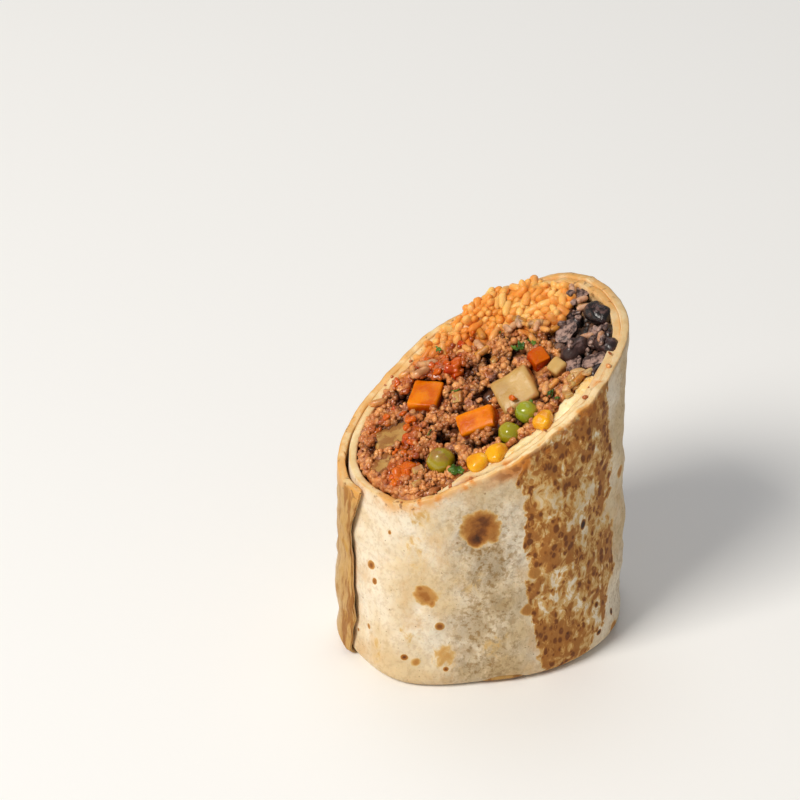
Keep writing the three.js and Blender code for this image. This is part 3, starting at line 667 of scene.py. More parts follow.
# the two dice by the low side are mottled a darker brown: gravy stain, and in part painted shade
stain = times(step(tone, 0.12, 0.2), step(cloud(place, 1.9, 3.0, 0.65, 0.4), 0.42, 0.58, 0.2, 0.95))
edge = times_plus(cloud(place, 2.4, 3.0), 0.5, mark_of(place, "rim"))
browned = times(step(edge, 1.02, 1.3), 0.85)
flesh = layered(
    (182, 142, 76),
    (step(cloud(place, 5, 3.0), 0.35, 0.65), (202, 164, 98)),
    (times(stain, step(tone, 0.42, 0.38)), (138, 80, 36)),
    (larger(browned, step(mark_of(place, "top"), 0.97, 0.5, 0.0, 0.85)), (176, 106, 40)),
    (step(cloud(place, 1.0, 1.0), 0.77, 0.8), (120, 66, 26)),
)
roughness, relief = step(cloud(place, 3), 0.4, 0.65, 0.3, 0.5), cloud(place, 1.1, 3.0, 0.6)
surface(shader, flesh, roughness, relief, 0.14, (0.25, (1.0, 0.75, 0.5), 0.0016), (0.03, 0.2), 0.3)
potato_dice = new_piece("potato_dice", dice(POTATOES, 1.2, 61, 1.3), potato_flesh)
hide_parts("potato_1", "potato_2", "potato_3", "potato_4")
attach(potato_dice, "root")


# ==== Peas ==============================================================================================
# Three garden peas, thin-skinned and shiny, a little shrunken from cooking. Each is a ball with shallow
# dents, and one carries a brown smear of gravy on its upper side.
def ball(segments, levels):
    """A round form one across, closed at both poles."""
    polar = np.linspace(0, np.pi, levels + 1)[1:-1, None]
    middle = ring(np.arange(segments) * 2 * np.pi / segments, np.sin(polar), np.cos(polar)).reshape(-1, 3)
    index = np.arange(len(middle)).reshape(-1, segments)
    after = np.roll(index, -1, axis=1)
    faces = quads(index)
    faces += [[len(middle), index[0, i], after[0, i]] for i in range(segments)]
    faces += [[len(middle) + 1, after[-1, i], index[-1, i]] for i in range(segments)]
    return np.concatenate([middle, [[0, 0, 1], [0, 0, -1]]]) / 2, faces


PEAS = [  # place, rise, radius, how smeared, tone
    ((2.7, -19.6), 0.5, 3.2, 0, 0), ((-3.4, -22.0), -0.1, 3.1, 0, 0.6), ((-21.0, -15.7), 0.8, 3.9, 1, 0.9),
]
pea_skin, shader, place = new_finish("pea skin")
smear = times(mark_of(place, "smear"), step(cloud(place, 2.2, 4.0, 0.65), 0.4, 0.56))
green = layered(
    (126, 142, 18),
    (step(cloud(place, 5, 2.0), 0.35, 0.65), (166, 164, 34)),
    (mark_of(place, "tone"), (158, 138, 6)),
    (times(smear, 0.8), (150, 98, 44)),
)
roughness, relief = times_plus(smear, 0.25, 0.22), cloud(place, 2.0, 3.0, 0.5)
surface(shader, green, roughness, relief, 0.12, (0.2, (0.6, 1.0, 0.15), 0.001), (0.4, 0.1))
parts = []
for order, (at, rise_by, radius, smeared, tone) in enumerate(PEAS):
    points, faces = ball(32, 22)
    points = points * 2 * radius
    dent = 0.12 * ripples(points + 40 * order, 4.2, 71 + order) + 0.05 * ripples(points, 1.8, 75)
    points = points * (1 + dent / radius)[:, None] * [1, 1, 0.96]
    marks = {"smear": smeared * rise(points[:, 2], 0.3 * radius, 0.8 * radius), "tone": tone}
    parts.append((press_in(points, at, rise_by, 30 * order, half=radius), faces, marks))
garden_peas = new_piece("garden_peas", joined(parts), pea_skin)
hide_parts("pea_1", "pea_2", "pea_3")
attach(garden_peas, "root")


# ==== Sweetcorn =========================================================================================
# Three kernels of sweetcorn between the mince and the cheese. Each is a plump wedge: broad and shiny at the
# crown, narrow and paler where it grew on the cob.
def squarer(points, power):
    """Fills out a round form one across towards a box."""
    return np.sign(points) * np.abs(2 * points) ** power / 2


CORN = [((4.6, -26.4), 0.7, 30), ((-14.0, -24.6), 0.4, -14), ((-9.0, -25.5), 0.2, 24)]  # place, rise, turn
corn_skin, shader, place = new_finish("sweetcorn skin")
yellow = layered(
    (224, 142, 2),
    (step(cloud(place, 3, 3.0), 0.35, 0.65), (240, 172, 10)),
    (step(mark_of(place, "root"), 0.7, 1.0, 0.0, 0.7), (236, 196, 90)),
)
roughness, relief = step(cloud(place, 2), 0.4, 0.65, 0.2, 0.38), cloud(place, 1.6, 3.0)
surface(shader, yellow, roughness, relief, 0.12, (0.35, (1.0, 0.6, 0.1), 0.0015), (0.2, 0.12), 0.4)
parts = []
for order, (at, rise_by, turn) in enumerate(CORN):
    points, faces = ball(28, 20)
    along, across, up = squarer(points[:, [2, 0, 1]], 0.86).T
    dimple = 0.5 * hump(along, -0.28, 0.14) * hump(across, 0, 0.3) * (up > 0)
    wedge = [along * 6.4, across * 5.4 * (1 - 0.5 * along), up * 4.4 * (1 - 0.2 * along) - dimple]
    points = np.stack(wedge, -1)
    points = swollen(points, 0.16 * ripples(points + 30 * order, 3.6, 81))
    parts.append((press_in(points, at, rise_by, turn, (0, -22), 2.4), faces, {"root": along + 0.5}))
kernels = new_piece("sweetcorn_kernels", joined(parts), corn_skin)
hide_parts("corn_1", "corn_2", "corn_3")
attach(kernels, "root")

# ==== Tomato ============================================================================================
# Soft bits of stewed tomato, wet and red-orange, broken down by the gravy. Each is a rounded block whose
# faces have slumped and dimpled.
TOMATOES = [  # place, rise, size, turn, tone
    ((-3.7, 12.2), -0.8, (6.4, 5.4, 6), 30, 0.0),
    ((-23.2, -1.0), -0.6, (4.4, 4.8, 5.5), 80, 0.2),
    ((-29.2, -10.4), -0.7, (7.4, 5.8, 6), 10, 0.8),
]
tomato_flesh, shader, place = new_finish("stewed tomato")
red = layered(
    (176, 46, 2),
    (step(cloud(place, 3, 3.0, 0.6), 0.35, 0.65), (206, 92, 8)),
    (mark_of(place, "tone"), (214, 104, 10)),
)
roughness, relief = step(cloud(place, 1.6), 0.4, 0.65, 0.14, 0.34), cloud(place, 1.6, 3.0, 0.6)
surface(shader, red, roughness, relief, 0.3, (0.3, (1.0, 0.25, 0.1), 0.0015), (0.2, 0.12), 0.3)
parts = []
for order, (at, rise_by, size, turn, tone) in enumerate(TOMATOES):
    points, faces = ball(36, 26)
    points = squarer(points, 0.8) * size
    points = swollen(points, 0.7 * ripples(points + 30 * order, 4.2, 91) + 0.3 * ripples(points, 1.8, 92))
    parts.append((press_in(points, at, rise_by, turn, (0, -20), 2.5), faces, {"tone": tone}))
tomato_bits = new_piece("tomato_bits", joined(parts), tomato_flesh)
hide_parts("tomato_1", "tomato_2", "tomato_3")
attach(tomato_bits, "root")

# ==== Cilantro ==========================================================================================
# Torn cilantro leaves, dark green and limp from the heat, lying in folds against the cut. Each is a thin
# sheet with a lobed border.
LEAVES = [  # place, rise, size, turn
    ((-19.6, -21.9), 1.0, (6.2, 4.2), -28), ((11.4, 3.0), 1.5, (4.6, 3.0), 50),
]
leaf_green, shader, place = new_finish("cilantro leaf")
green = layered((38, 76, 12), (step(cloud(place, 2.2, 3.0), 0.35, 0.65), (92, 124, 34)))
roughness, relief = step(cloud(place, 1.4), 0.4, 0.65, 0.25, 0.5), cloud(place, 1.0, 3.0, 0.6)
surface(shader, green, roughness, relief, 0.2, coat=(0.1,), specular=0.35)


def leaf(length, width, seed):
    """A lobed leaf as a closed thin sheet, fanned out from its middle."""
    spokes, levels, thickness = 44, 8, 0.35
    turn = np.arange(spokes) * 2 * np.pi / spokes
    lobes = 0.74 + 0.2 * np.cos(5 * turn + seed) + 0.09 * np.cos(11 * turn + 2 * seed)
    share = np.linspace(0, 1, levels + 1)[1:, None]
    flat = ring(turn, share * lobes, 0 * share).reshape(-1, 3) * [length / 2, width / 2, 1]
    flat = np.concatenate([flat, [[0, 0, 0]]])
    x, y, _ = flat.T
    curl = 0.5 * np.sin(1.5 * x + seed) + 0.35 * np.sin(2.3 * y + 1)
    flat[:, 2] = curl + 0.2 * ripples(flat[:, :2], 1.8, seed)
    count = len(flat)
    index = np.arange(count - 1).reshape(levels, spokes)
    after = np.roll(index, -1, axis=1)
    upper = [[count - 1, index[0, i], after[0, i]] for i in range(spokes)] + quads(index)
    lower = [[corner + count for corner in face[::-1]] for face in upper]
    rim = [[after[-1, i], index[-1, i], index[-1, i] + count, after[-1, i] + count] for i in range(spokes)]
    return np.concatenate([flat, flat - [0, 0, thickness]]), upper + lower + rim


parts = []
for order, (at, rise_by, size, turn) in enumerate(LEAVES):
    points, faces = leaf(*size, 3 + order)
    parts.append((press_in(points, at, rise_by, turn, (0, -26), 1.6), faces, {}))
cilantro = new_piece("cilantro_leaves", joined(parts), leaf_green)
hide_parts("cilantro_1", "cilantro_2")
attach(cilantro, "root")

# ==== Mince =============================================================================================
# Fried minced beef, the middle of the filling: crumbling lumps of short pressed strands, brown, oily and
# reddened by gravy on the low side. A plain core fills the roll below; Geometry Nodes fuse the strands on it.
MINCE, RICE, BEANS = 0, 1, 2
RICE_LINE = [(-40, 33), (-22, 26), (-7, 21.8), (0, 22), (6, 15), (13, 11.7), (18, 8.4), (23, 2.6)]  # x, y
BEANS_BACK = [(22.6, 2.9), (28, 6.6), (32, 11.5), (50, 24)]  # x, y
BEANS_FRONT = [(-40, 34), (-24, 22), (-15, 17), (-8.5, 16.6), (-2.4, 19.4), (2.9, 22.6)]  # y, x


def room_radius(angle, z):
    """How far the filling reaches: the inner face of the innermost turn, a hair clear of it."""
    turn = (np.degrees(angle) + 720) % 360
    inner_turn = np.where(turn >= ROLL_START, turn, turn + 360)
    step_in = np.where(inner_turn < 400, 0, PITCH * rise(inner_turn, ROLL_START + 355, ROLL_START + 359.5))
    return roll_radius(angle, z) + layer_offset(inner_turn) - step_in - DOUGH - 0.5


def to_wall(points):
    """Distance left to the tortilla."""
    x, y = points.T[:2]
    return room_radius(np.arctan2(y, x), cut_height(x)) - np.hypot(x, y)


def cheese_share(angle):
    degrees = (np.degrees(angle) + 180) % 360 - 180
    return rise(degrees, -132, -118) * (1 - rise(degrees, -52, -38))


def cheese_width(angle):
    """How wide the cheese lies on the cut: broadest to the right of the sweetcorn."""
    degrees = (np.degrees(angle) + 180) % 360 - 180
    return 1.9 * cheese_share(angle) + 1.7 * hump(degrees, -64, 13)


def to_side(points):
    """Distance left to the tortilla, or to the cheese where it lies in between."""
    return to_wall(points) - cheese_width(np.arctan2(points[:, 1], points[:, 0]))


def over_cut(points):
    return points[:, 2] - cut_height(points[:, 0])


def filling_at(points):
    """Which filling lies here: MINCE, RICE or BEANS."""
    x, y = points.T[:2]
    at_back = (x > BEANS_BACK[0][0]) & (y < np.interp(x, *zip(*BEANS_BACK)))
    in_front = (y < BEANS_FRONT[-1][0]) & (x > np.interp(y, *zip(*BEANS_FRONT)))
    return np.where(at_back | in_front, BEANS, np.where(y > np.interp(x, *zip(*RICE_LINE)), RICE, MINCE))


def clear_of_pieces(points, gap):
    free = np.ones(len(points), dtype=bool)
    for origin, turned, half, proud in lying:
        local = (points - origin) @ turned
        if np.ndim(half):
            beside = np.max(np.abs(local[:, :2]) - half[:2], axis=1)
            hit = (beside < gap) & (local[:, 2] > -half[2] - gap) & (local[:, 2] < 3)
            hit |= (beside < gap + 1.0) & (local[:, 2] > -proud) & (local[:, 2] < 3)
        else:
            hit = np.linalg.norm(local, axis=1) < half + gap
        free &= ~hit
    return free


def applied(piece):
    """(points, faces, marks) of a piece with its modifiers applied; the piece itself is removed."""
    mesh = bpy.data.meshes.new_from_object(piece.evaluated_get(bpy.context.evaluated_depsgraph_get()))
    points = np.empty(len(mesh.vertices) * 3, dtype=np.float32)
    mesh.vertices.foreach_get("co", points)
    marks = {}
    if "tone" in mesh.attributes:
        marks["tone"] = np.empty(len(mesh.vertices), dtype=np.float32)
        mesh.attributes["tone"].data.foreach_get("value", marks["tone"])
    bpy.data.objects.remove(piece)
    return points.reshape(-1, 3).astype(float) * 1000, [list(face.vertices) for face in mesh.polygons], marks


def filling_core(node, top):
    """The plain lower body of a filling: a copy of its CAD solid, sliced off below the cut."""
    source = bmesh.new()
    source.from_mesh(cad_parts[node].data)
    bmesh.ops.remove_doubles(source, verts=source.verts[:], dist=1e-6)
    corners = np.array([[x, y, -5.0] for _ in range(2) for y in (-60, 60) for x in (-60, 60)])
    corners[4:, 2] = cut_height(corners[4:, 0]) + top
    sides = [[0, 2, 3, 1], [4, 5, 7, 6], [0, 1, 5, 4], [2, 6, 7, 3], [0, 4, 6, 2], [1, 3, 7, 5]]
    slicer = new_piece("slicer", (corners, sides, {}))
    mesh = bpy.data.meshes.new(node + " core")
    source.to_mesh(mesh)
    source.free()
    core = bpy.data.objects.new(node + " core", mesh)
    bpy.context.scene.collection.objects.link(core)
    slice_off = core.modifiers.new("slice", "BOOLEAN")
    slice_off.operation, slice_off.solver, slice_off.object = "INTERSECT", "MANIFOLD", slicer
    points, faces, _ = applied(core)
    bpy.data.objects.remove(slicer)
    return points, faces


def new_tree(name, inputs):
    """An empty Geometry Nodes tree that takes geometry, a finish and these named numbers."""
    sockets = {"Geometry": ("NodeSocketGeometry", None), "Finish": ("NodeSocketMaterial", None)}
    sockets.update({socket: (NUMBER, start) for socket, start in inputs.items()})
    return new_group("GeometryNodeTree", name, sockets, {"Geometry": "NodeSocketGeometry"})


def grown(points, tree, values, **marks):
    """Runs a Geometry Nodes tree on loose points and returns (points, faces, marks) of the plain mesh."""
    seeds = new_piece("seeds", (points, [], marks))
    grow = seeds.modifiers.new("grow", "NODES")
    grow.node_group = tree
    for item in tree.interface.items_tree:
        if item.in_out == "INPUT" and item.name in values:
            grow[item.identifier] = values[item.name]
    return applied(seeds)


def own(tree, name, kind="FLOAT"):
    """What a loose point carries under this name."""
    return add(tree, "GeometryNodeInputNamedAttribute", {"Name": name}, data_type=kind).outputs[0]


def scaled(vector, amount):
    inputs = {0: vector, "Scale": amount}
    return add(vector.id_data, "ShaderNodeVectorMath", inputs, operation="SCALE").outputs[0]


def roughened(geometry, density, detail, amount):
    """Shifts a surface by noise, at most half of `amount` each way."""
    tree = geometry.id_data
    noise = add(tree, "ShaderNodeTexNoise", {"Scale": density, "Detail": detail}).outputs["Color"]
    centred = add(tree, "ShaderNodeVectorMath", {0: noise, 1: (0.5, 0.5, 0.5)}, operation="SUBTRACT")
    inputs = {"Geometry": geometry, "Offset": scaled(centred.outputs[0], amount)}
    return add(tree, "GeometryNodeSetPosition", inputs).outputs[0]


def hand_back(geometry, finish, result):
    """Ends a tree with the finish on its geometry."""
    tree = geometry.id_data
    finished = add(tree, "GeometryNodeSetMaterial", {"Geometry": geometry, "Material": finish})
    tree.links.new(finished.outputs[0], result[0])


# fuses balls, each with its own reach, into one lumpy body
sizes = {"Fineness": 0.00034, "Crumble": 0.0002, "Crumble size": 0.001}
fused, given, result = new_tree("fused lumps", sizes)
reach = own(fused, "reach")
drops = add(fused, "GeometryNodeMeshToPoints", {"Mesh": given["Geometry"], "Radius": reach}).outputs[0]
inputs = {"Points": drops, "Radius": reach, "Voxel Size": given["Fineness"]}
mass = add(fused, "GeometryNodePointsToVolume", inputs, resolution_mode="VOXEL_SIZE").outputs[0]
skin = add(fused, "GeometryNodeVolumeToMesh", {"Volume": mass}).outputs[0]
rough = roughened(skin, maths("DIVIDE", 1.0, given["Crumble size"]), 2.0, given["Crumble"])
hand_back(add(fused, "GeometryNodeRealizeInstances", {0: rough}).outputs[0], given["Finish"], result)


def lumps_from(balls, reach, fineness, crumble, crumble_size, finish):
    """One lumpy body fused from balls; all the sizes are in millimetres."""
    sizes = {"Fineness": fineness / 1000, "Crumble": crumble / 1000, "Crumble size": crumble_size / 1000}
    return grown(balls, fused, {**sizes, "Finish": finish}, reach=np.divide(reach, 1000))


def scattered(spacing, seed, jitter=0.8):
    """Uneven places over the cut, seen from above."""
    draw = np.random.default_rng(seed)
    x, y = np.meshgrid(np.arange(-42, 42, spacing), np.arange(-34, 34, spacing * 0.866))
    x = x + (np.arange(len(x)) % 2)[:, None] * spacing / 2
    places = np.stack([x, y], -1).reshape(-1, 2)
    return places + (draw.random(places.shape) - 0.5) * spacing * jitter


def on_cut(places, depth):
    return np.column_stack([places, cut_height(places[:, 0]) + depth])


def gap_shade_below(points, reach):
    """0 on the heap's crests, 1 deep in its gaps: how much painted shade darkens a gap."""
    height = over_cut(points)
    cell = tuple(np.floor(points[:, :2]).astype(int).T + 60)
    crest = np.full((120, 120), -99.0)
    np.maximum.at(crest, cell, height)
    for _ in range(2):
        crest = np.max([crest, *(np.roll(crest, way, axis) for axis in (0, 1) for way in (-1, 1))], axis=0)
    return np.clip((crest[cell] - height) / reach, 0, 1)


def tones_near(points, centres, tones):
    nearest = KDTree(len(centres))
    for order, centre in enumerate(centres):
        nearest.insert(centre, order)
    nearest.balance()
    return np.array([tones[nearest.find(point)[1]] for point in points])


def mince_strands():
    """Every lump's short strands, as rows of balls that wind round it, each with a reach and a tone."""
    draw = np.random.default_rng(29)
    edge = np.radians(np.arange(0, 360, 5.5))
    along_side = ring(edge, room_radius(edge, CUT_HEIGHT) - 1.6 - cheese_width(edge), 0)[:, :2]
    places = np.concatenate([scattered(4.8, 24), along_side])
    places = places[(filling_at(places) == MINCE) & (to_side(places) > 1.0)]
    by_side = to_side(places) < 2.6
    lumps = on_cut(places, draw.uniform(-4.0 + 1.5 * by_side, -0.4 - 1.1 * by_side, len(places)))
    balls, reaches, tones = [], [], []
    for centre in lumps:
        size = draw.uniform(1.8, 3.2)
        lump_tone = draw.random()
        for _ in range(int(10 + size * 9)):
            way = draw.normal(size=3)
            way[2] = abs(way[2]) * 0.9 - 0.25
            middle = centre + way / np.linalg.norm(way) * size * draw.uniform(0.75, 1.1)
            heading = draw.normal(size=3)
            width = draw.uniform(0.5, 0.85)
            tone = np.clip(0.6 * lump_tone + 0.5 * draw.random() - 0.05, 0, 1)
            for _ in range(draw.integers(2, 5)):
                balls.append(middle)
                reaches.append(width * draw.uniform(0.9, 1.1))
                tones.append(tone)
                heading += draw.normal(size=3) * 0.5
                heading /= np.linalg.norm(heading)
                outward = (middle - centre) / np.linalg.norm(middle - centre)
                heading -= outward * (heading @ outward) * 0.8
                middle = middle + heading * width * 0.8
    return np.array(balls), np.array(reaches), np.array(tones)


PITS = [  # x, y, width
    (-16.6, -7.9, 3.0), (-2.6, -2.9, 2.8), (16.9, 6.3, 1.8), (9.6, 3.4, 1.4), (-25.5, -13.5, 1.4),
    (-17.5, -16.5, 1.5), (4.5, 8.0, 1.5),
]
balls, reaches, tones = mince_strands()
room, above = to_side(balls), over_cut(balls)
keep = (room > reaches) & (above < 0.1 + 1.8 * rise(room, 1, 6)) & (above > -3.6)
keep &= clear_of_pieces(balls, 0.35)
for x, y, wide in PITS:
    keep &= np.hypot(balls[:, 0] - x, balls[:, 1] - y) > wide
balls, reaches, tones = balls[keep], reaches[keep], tones[keep]
draw = np.random.default_rng(26)
places = scattered(1.6, 25, 0.5)
places = places[(filling_at(places) == MINCE) & (to_side(places) > 1.0)]
depth = -4.1 + 1.5 * (1 - rise(to_side(places), 2, 6)) + draw.uniform(-0.4, 0.5, len(places))
for x, y, wide in PITS:
    depth -= 4.0 * hump(np.hypot(places[:, 0] - x, places[:, 1] - y), 0, wide, 4)
bed = on_cut(places, depth)

mince_meat, shader, place = new_finish("fried mince")
gravy = step(times_plus(cloud(place, 3.4, 3.0), 0.9, mark_of(place, "gravy")), 0.5, 0.95)
meat = layered(
    (170, 88, 34),
    (step(mark_of(place, "tone"), 0.2, 0.8), (244, 170, 98)),
    (step(cloud(place, 1.6, 3.0, 0.65), 0.4, 0.7), (194, 112, 52)),
    (step(cloud(place, 0.7, 2.0, 0.6), 0.54, 0.7, 0.0, 0.6), (230, 178, 128)),
    (step(cloud(place, 2.8, 3.0, 0.5), 0.56, 0.66, 0.0, 0.75), (172, 112, 90)),
    (times(gravy, 0.6), (196, 90, 26)),
    # painted shade: nearly black deep in the gaps between the lumps
    (times(step(mark_of(place, "sunk"), 0.12, 0.9), 0.9), (66, 22, 4)),
)
roughness, relief = step(cloud(place, 1.5), 0.35, 0.65, 0.26, 0.52), cloud(place, 0.6, 4.0, 0.7)
surface(shader, meat, roughness, relief, 0.3, (0.06, (1.0, 0.35, 0.2), 0.0012), (0.42, 0.12), 0.35)

GRAVY = [  # x, y, width, strength
    (-12, 19, 9, 0.42), (-28, 10, 6, 0.3), (-4, 14, 5, 0.36), (-30, -9, 7, 0.42), (-23, 0, 4, 0.4),
    (3, 18, 4, 0.25),
]


def gravy_near(points):
    away = [np.hypot(points[:, 0] - x, points[:, 1] - y) for x, y, _, _ in GRAVY]
    return sum(strength * hump(near, 0, wide) for near, (_, _, wide, strength) in zip(away, GRAVY))


def gap_shade_in_mince(points, reach):
    """The painted shade in the mince's gaps, less dark by the wall, where light still falls in over the low
    edge.
    """
    return gap_shade_below(points, reach) * (0.45 + 0.55 * rise(to_side(points), 0.5, 4))


lumps = lumps_from(balls, reaches, 0.5, 0.6, 1.0, mince_meat)
points, faces, marks = joined([lumps, lumps_from(bed, np.full(len(bed), 1.45), 0.9, 0.6, 1.4, mince_meat)])
marks["tone"] = tones_near(points, balls, tones)
marks["sunk"] = gap_shade_in_mince(points, 3.2)
marks["gravy"] = gravy_near(points)
core = filling_core("mince", -5.4)
# the core below is marked as deep in the gaps, so it is painted dark as shade
mince_shape = joined([(points, faces, marks), (*core, {"tone": 0.3, "sunk": 0.9})])
mince = new_piece("fried_mince", mince_shape, mince_meat)
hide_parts("mince")
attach(mince, "root")


# ==== Mince crumbs ======================================================================================
# The grain of the mince: small lumpy crumbs sticking to the lumps' upper sides, each its own shade of brown.
# They are drawn at random over the lumps' faces and grown by Geometry Nodes from one rough pebble.
def spots_on(points, faces, count, draw):
    """Random places on the faces that look up out of the cut, and the way each face looks."""
    halves = [[face[0], face[2], face[3]] for face in faces if len(face) == 4]
    a, b, c = points[np.array([face[:3] for face in faces] + halves)].transpose(1, 0, 2)
    normal = np.cross(b - a, c - a)
    area = np.linalg.norm(normal, axis=1)
    normal = normal / np.maximum(area, 1e-9)[:, None]
    upward = normal @ (np.array([-CUT_SLOPE, 0, 1]) / np.hypot(CUT_SLOPE, 1))
    above = over_cut(a)
    weight = area * (upward > 0.05) * (above > -3.4) * (0.35 + 0.65 * rise(above, -3, -1))
    pick = draw.choice(len(a), count, p=weight / weight.sum())
    u, v = draw.random((2, count, 1))
    return a[pick] + (b - a)[pick] * np.sqrt(u) * (1 - v) + (c - a)[pick] * np.sqrt(u) * v, normal[pick]


def strewn(form, given, size_kind):
    """The form at every point, turned and sized by the point's own marks, as real geometry."""
    tree = form.id_data
    way = own(tree, "way", "FLOAT_VECTOR")
    facing = add(tree, "FunctionNodeAlignRotationToVector", {"Vector": way}, axis="Z").outputs[0]
    size = own(tree, "size", size_kind)
    inputs = {"Points": given["Geometry"], "Instance": form, "Rotation": facing, "Scale": size}
    dropped = add(tree, "GeometryNodeInstanceOnPoints", inputs).outputs[0]
    return add(tree, "GeometryNodeRealizeInstances", {0: dropped}).outputs[0]


crumbs_tree, given, result = new_tree("mince crumbs", {"Diameter": 0.0014, "Roughness": 0.0005})
inputs = {"Vertices X": 3, "Vertices Y": 3, "Vertices Z": 3}
cube = add(crumbs_tree, "GeometryNodeMeshCube", inputs).outputs[0]
corner = add(crumbs_tree, "GeometryNodeInputPosition").outputs[0]
outward = add(crumbs_tree, "ShaderNodeVectorMath", {0: corner}, operation="NORMALIZE").outputs[0]
inputs = {"Geometry": cube, "Position": scaled(outward, times(given["Diameter"], 0.5))}
pebble = add(crumbs_tree, "GeometryNodeSetPosition", inputs).outputs[0]
crumbs = roughened(strewn(pebble, given, "FLOAT_VECTOR"), 900.0, 1.0, given["Roughness"])
hand_back(crumbs, given["Finish"], result)

draw = np.random.default_rng(27)
middles, ways = spots_on(*lumps[:2], 3600, draw)
free = clear_of_pieces(middles, 0.3) & (to_side(middles) > 0.6)
middles, ways = middles[free][:3200], ways[free][:3200]
sizes = draw.uniform(0.6, 1.4, (len(middles), 1)) * draw.uniform(0.6, 1.5, (len(middles), 3))
tone = np.clip(0.6 * tones_near(middles, balls, tones) + 0.5 * draw.random(len(middles)), 0, 1)
ways = ways + 0.6 * draw.normal(size=ways.shape)
values = {"Diameter": 0.0014, "Roughness": 0.0009, "Finish": mince_meat}
points, faces, marks = grown(middles, crumbs_tree, values, way=ways, size=sizes, tone=tone)
# the crumbs get the same painted gap shade as the lumps, and their gravy
crumb_shape = (points, faces, marks | {"sunk": gap_shade_in_mince(points, 3.4), "gravy": gravy_near(points)})
mince_crumbs = new_piece("mince_crumbs", crumb_shape, mince_meat)
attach(mince_crumbs, "root")

# ==== Black beans =======================================================================================
# Cooked black beans on the tall side, some whole with glossy dark skins, some split by the knife to their
# grey-mauve insides. A lumpy paste of cooked-down beans fills the gaps between them.
BEAN = (9.5, 6.6, 6.0)
WHOLE = 9  # a knife height above the whole bean
# place, rise, turn, lean, size, the knife's height in half beans, tone (0 nearly black, 1 washed-out mauve)
BEAN_PLACES = [
    ((31.8, -4.0), 0.6, 100, (0, -26), 1.02, WHOLE, 0),
    ((32.4, 7.4), -0.6, 30, (0, -20), 0.86, 0.25, 0.1),
    ((23.6, -1.6), -0.5, 20, (14, -26), 0.84, 0.15, 0.3),
    ((22.3, -9.8), -0.6, 10, (0, -26), 0.98, WHOLE, 0.35),
    ((27.9, -10.4), -0.6, 60, (0, -30), 0.8, 0.3, 0.5),
    ((28.6, -16.0), -0.3, 115, (0, -26), 0.84, WHOLE, 0.3),
    ((24.2, -18.0), -0.7, 150, (0, -26), 0.84, 0.2, 0.5),
    ((28.4, 2.6), -2.6, 80, (0, -26), 0.9, WHOLE, 0),
    ((19.8, -14.2), -1.2, 60, (0, -26), 0.8, 0.35, 0.4),
    ((24.6, -6.0), -3.6, 130, (0, -26), 0.9, WHOLE, 0),
    ((31.4, -11.4), -1.0, 80, (0, -26), 0.7, WHOLE, 0.1),
    ((22.8, -21.6), -1.4, 20, (0, -26), 0.7, WHOLE, 0.3),
]
bean_skin, shader, place = new_finish("black bean")
tone = mark_of(place, "tone")
# paler mauve patches on the beans' upper sides
paler_upper_side = times(mark_of(place, "upper"), step(cloud(place, 1.5, 3.0, 0.65), 0.5, 0.64))
paste = layered((60, 38, 34), (step(cloud(place, 1.4, 3.0, 0.65), 0.4, 0.62), (172, 138, 124)))
bared = step(times_plus(cloud(place, 1.6, 3.0, 0.6), 0.5, mark_of(place, "cut_face")), 0.6, 0.85)
dark = layered(
    (14, 7, 8),
    (step(cloud(place, 3, 3.0), 0.4, 0.7), (46, 24, 24)),
    (times(paler_upper_side, 0.4), (134, 100, 94)),
    (times(tone, step(cloud(place, 2.2, 3.0, 0.6), 0.34, 0.62, 0.2, 1.0)), (104, 72, 64)),
    (bared, paste),
)
roughness, relief = step(larger(bared, tone), 0.0, 1.0, 0.27, 0.52), cloud(place, 0.9, 3.0, 0.6)
surface(shader, dark, roughness, relief, 0.2, coat=(0.12, 0.22))
parts = []
for order, (at, rise_by, turn, lean, size, knife, tone) in enumerate(BEAN_PLACES):
    form, faces = ball(40, 28)
    form = form[:, [2, 0, 1]]
    along, across, up = form.T
    points = form * BEAN * size
    points[:, 1] += 0.9 * size * (4 * along ** 2 - 0.35) + 0.8 * hump(along, 0, 0.16) * (across < -0.2)
    dents = 0.14 * ripples(points + 30 * order, 4, 101) + 0.04 * ripples(points, 1.2, 102)
    points += form / np.linalg.norm(form, axis=1, keepdims=True) * dents[:, None]
    level = knife * BEAN[2] * size / 2
    flat, height = points[:, :2], points[:, 2].copy()
    torn = level + 0.14 * ripples(flat + 9 * order, 2.2, 103) + 0.06 * ripples(flat, 0.9, 104)
    points[:, 2] = np.where(height > torn, torn + 0.12 * (height - torn), height)
    marks = {"cut_face": rise(height - level, -0.15, 0.25), "tone": tone, "upper": rise(up, 0.1, 0.4)}
    parts.append((press_in(points, at, rise_by, turn, lean, 2.7 * size), faces, marks))
beans = joined(parts)

mash, shader, place = new_finish("bean mash")
pale = layered(
    (62, 38, 31),
    (step(mark_of(place, "tone"), 0.1, 0.9), (148, 105, 76)),
    (step(cloud(place, 1.2, 3.0), 0.35, 0.65), (110, 78, 62)),
    (mark_of(place, "stain"), (214, 158, 100)),
    # painted shade: nearly black deep in the gaps of the mash
    (step(mark_of(place, "sunk"), 0.12, 0.62, 0.0, 0.96), (20, 9, 7)),
)
roughness, relief = step(cloud(place, 1.5), 0.35, 0.65, 0.35, 0.6), cloud(place, 0.6, 3.0, 0.6)
surface(shader, pale, roughness, relief, 0.16, (0.2, (1.0, 0.6, 0.5), 0.0012))
draw = np.random.default_rng(33)
places = scattered(1.75, 34, 0.9)
places = places[(filling_at(places) == BEANS) & (to_wall(places) > 1.4)]
places = places[np.hypot(places[:, 0] - 25, places[:, 1] + 4.6) > 3.4]
mash_balls = on_cut(places, draw.uniform(-4.2, -1.5, len(places)))
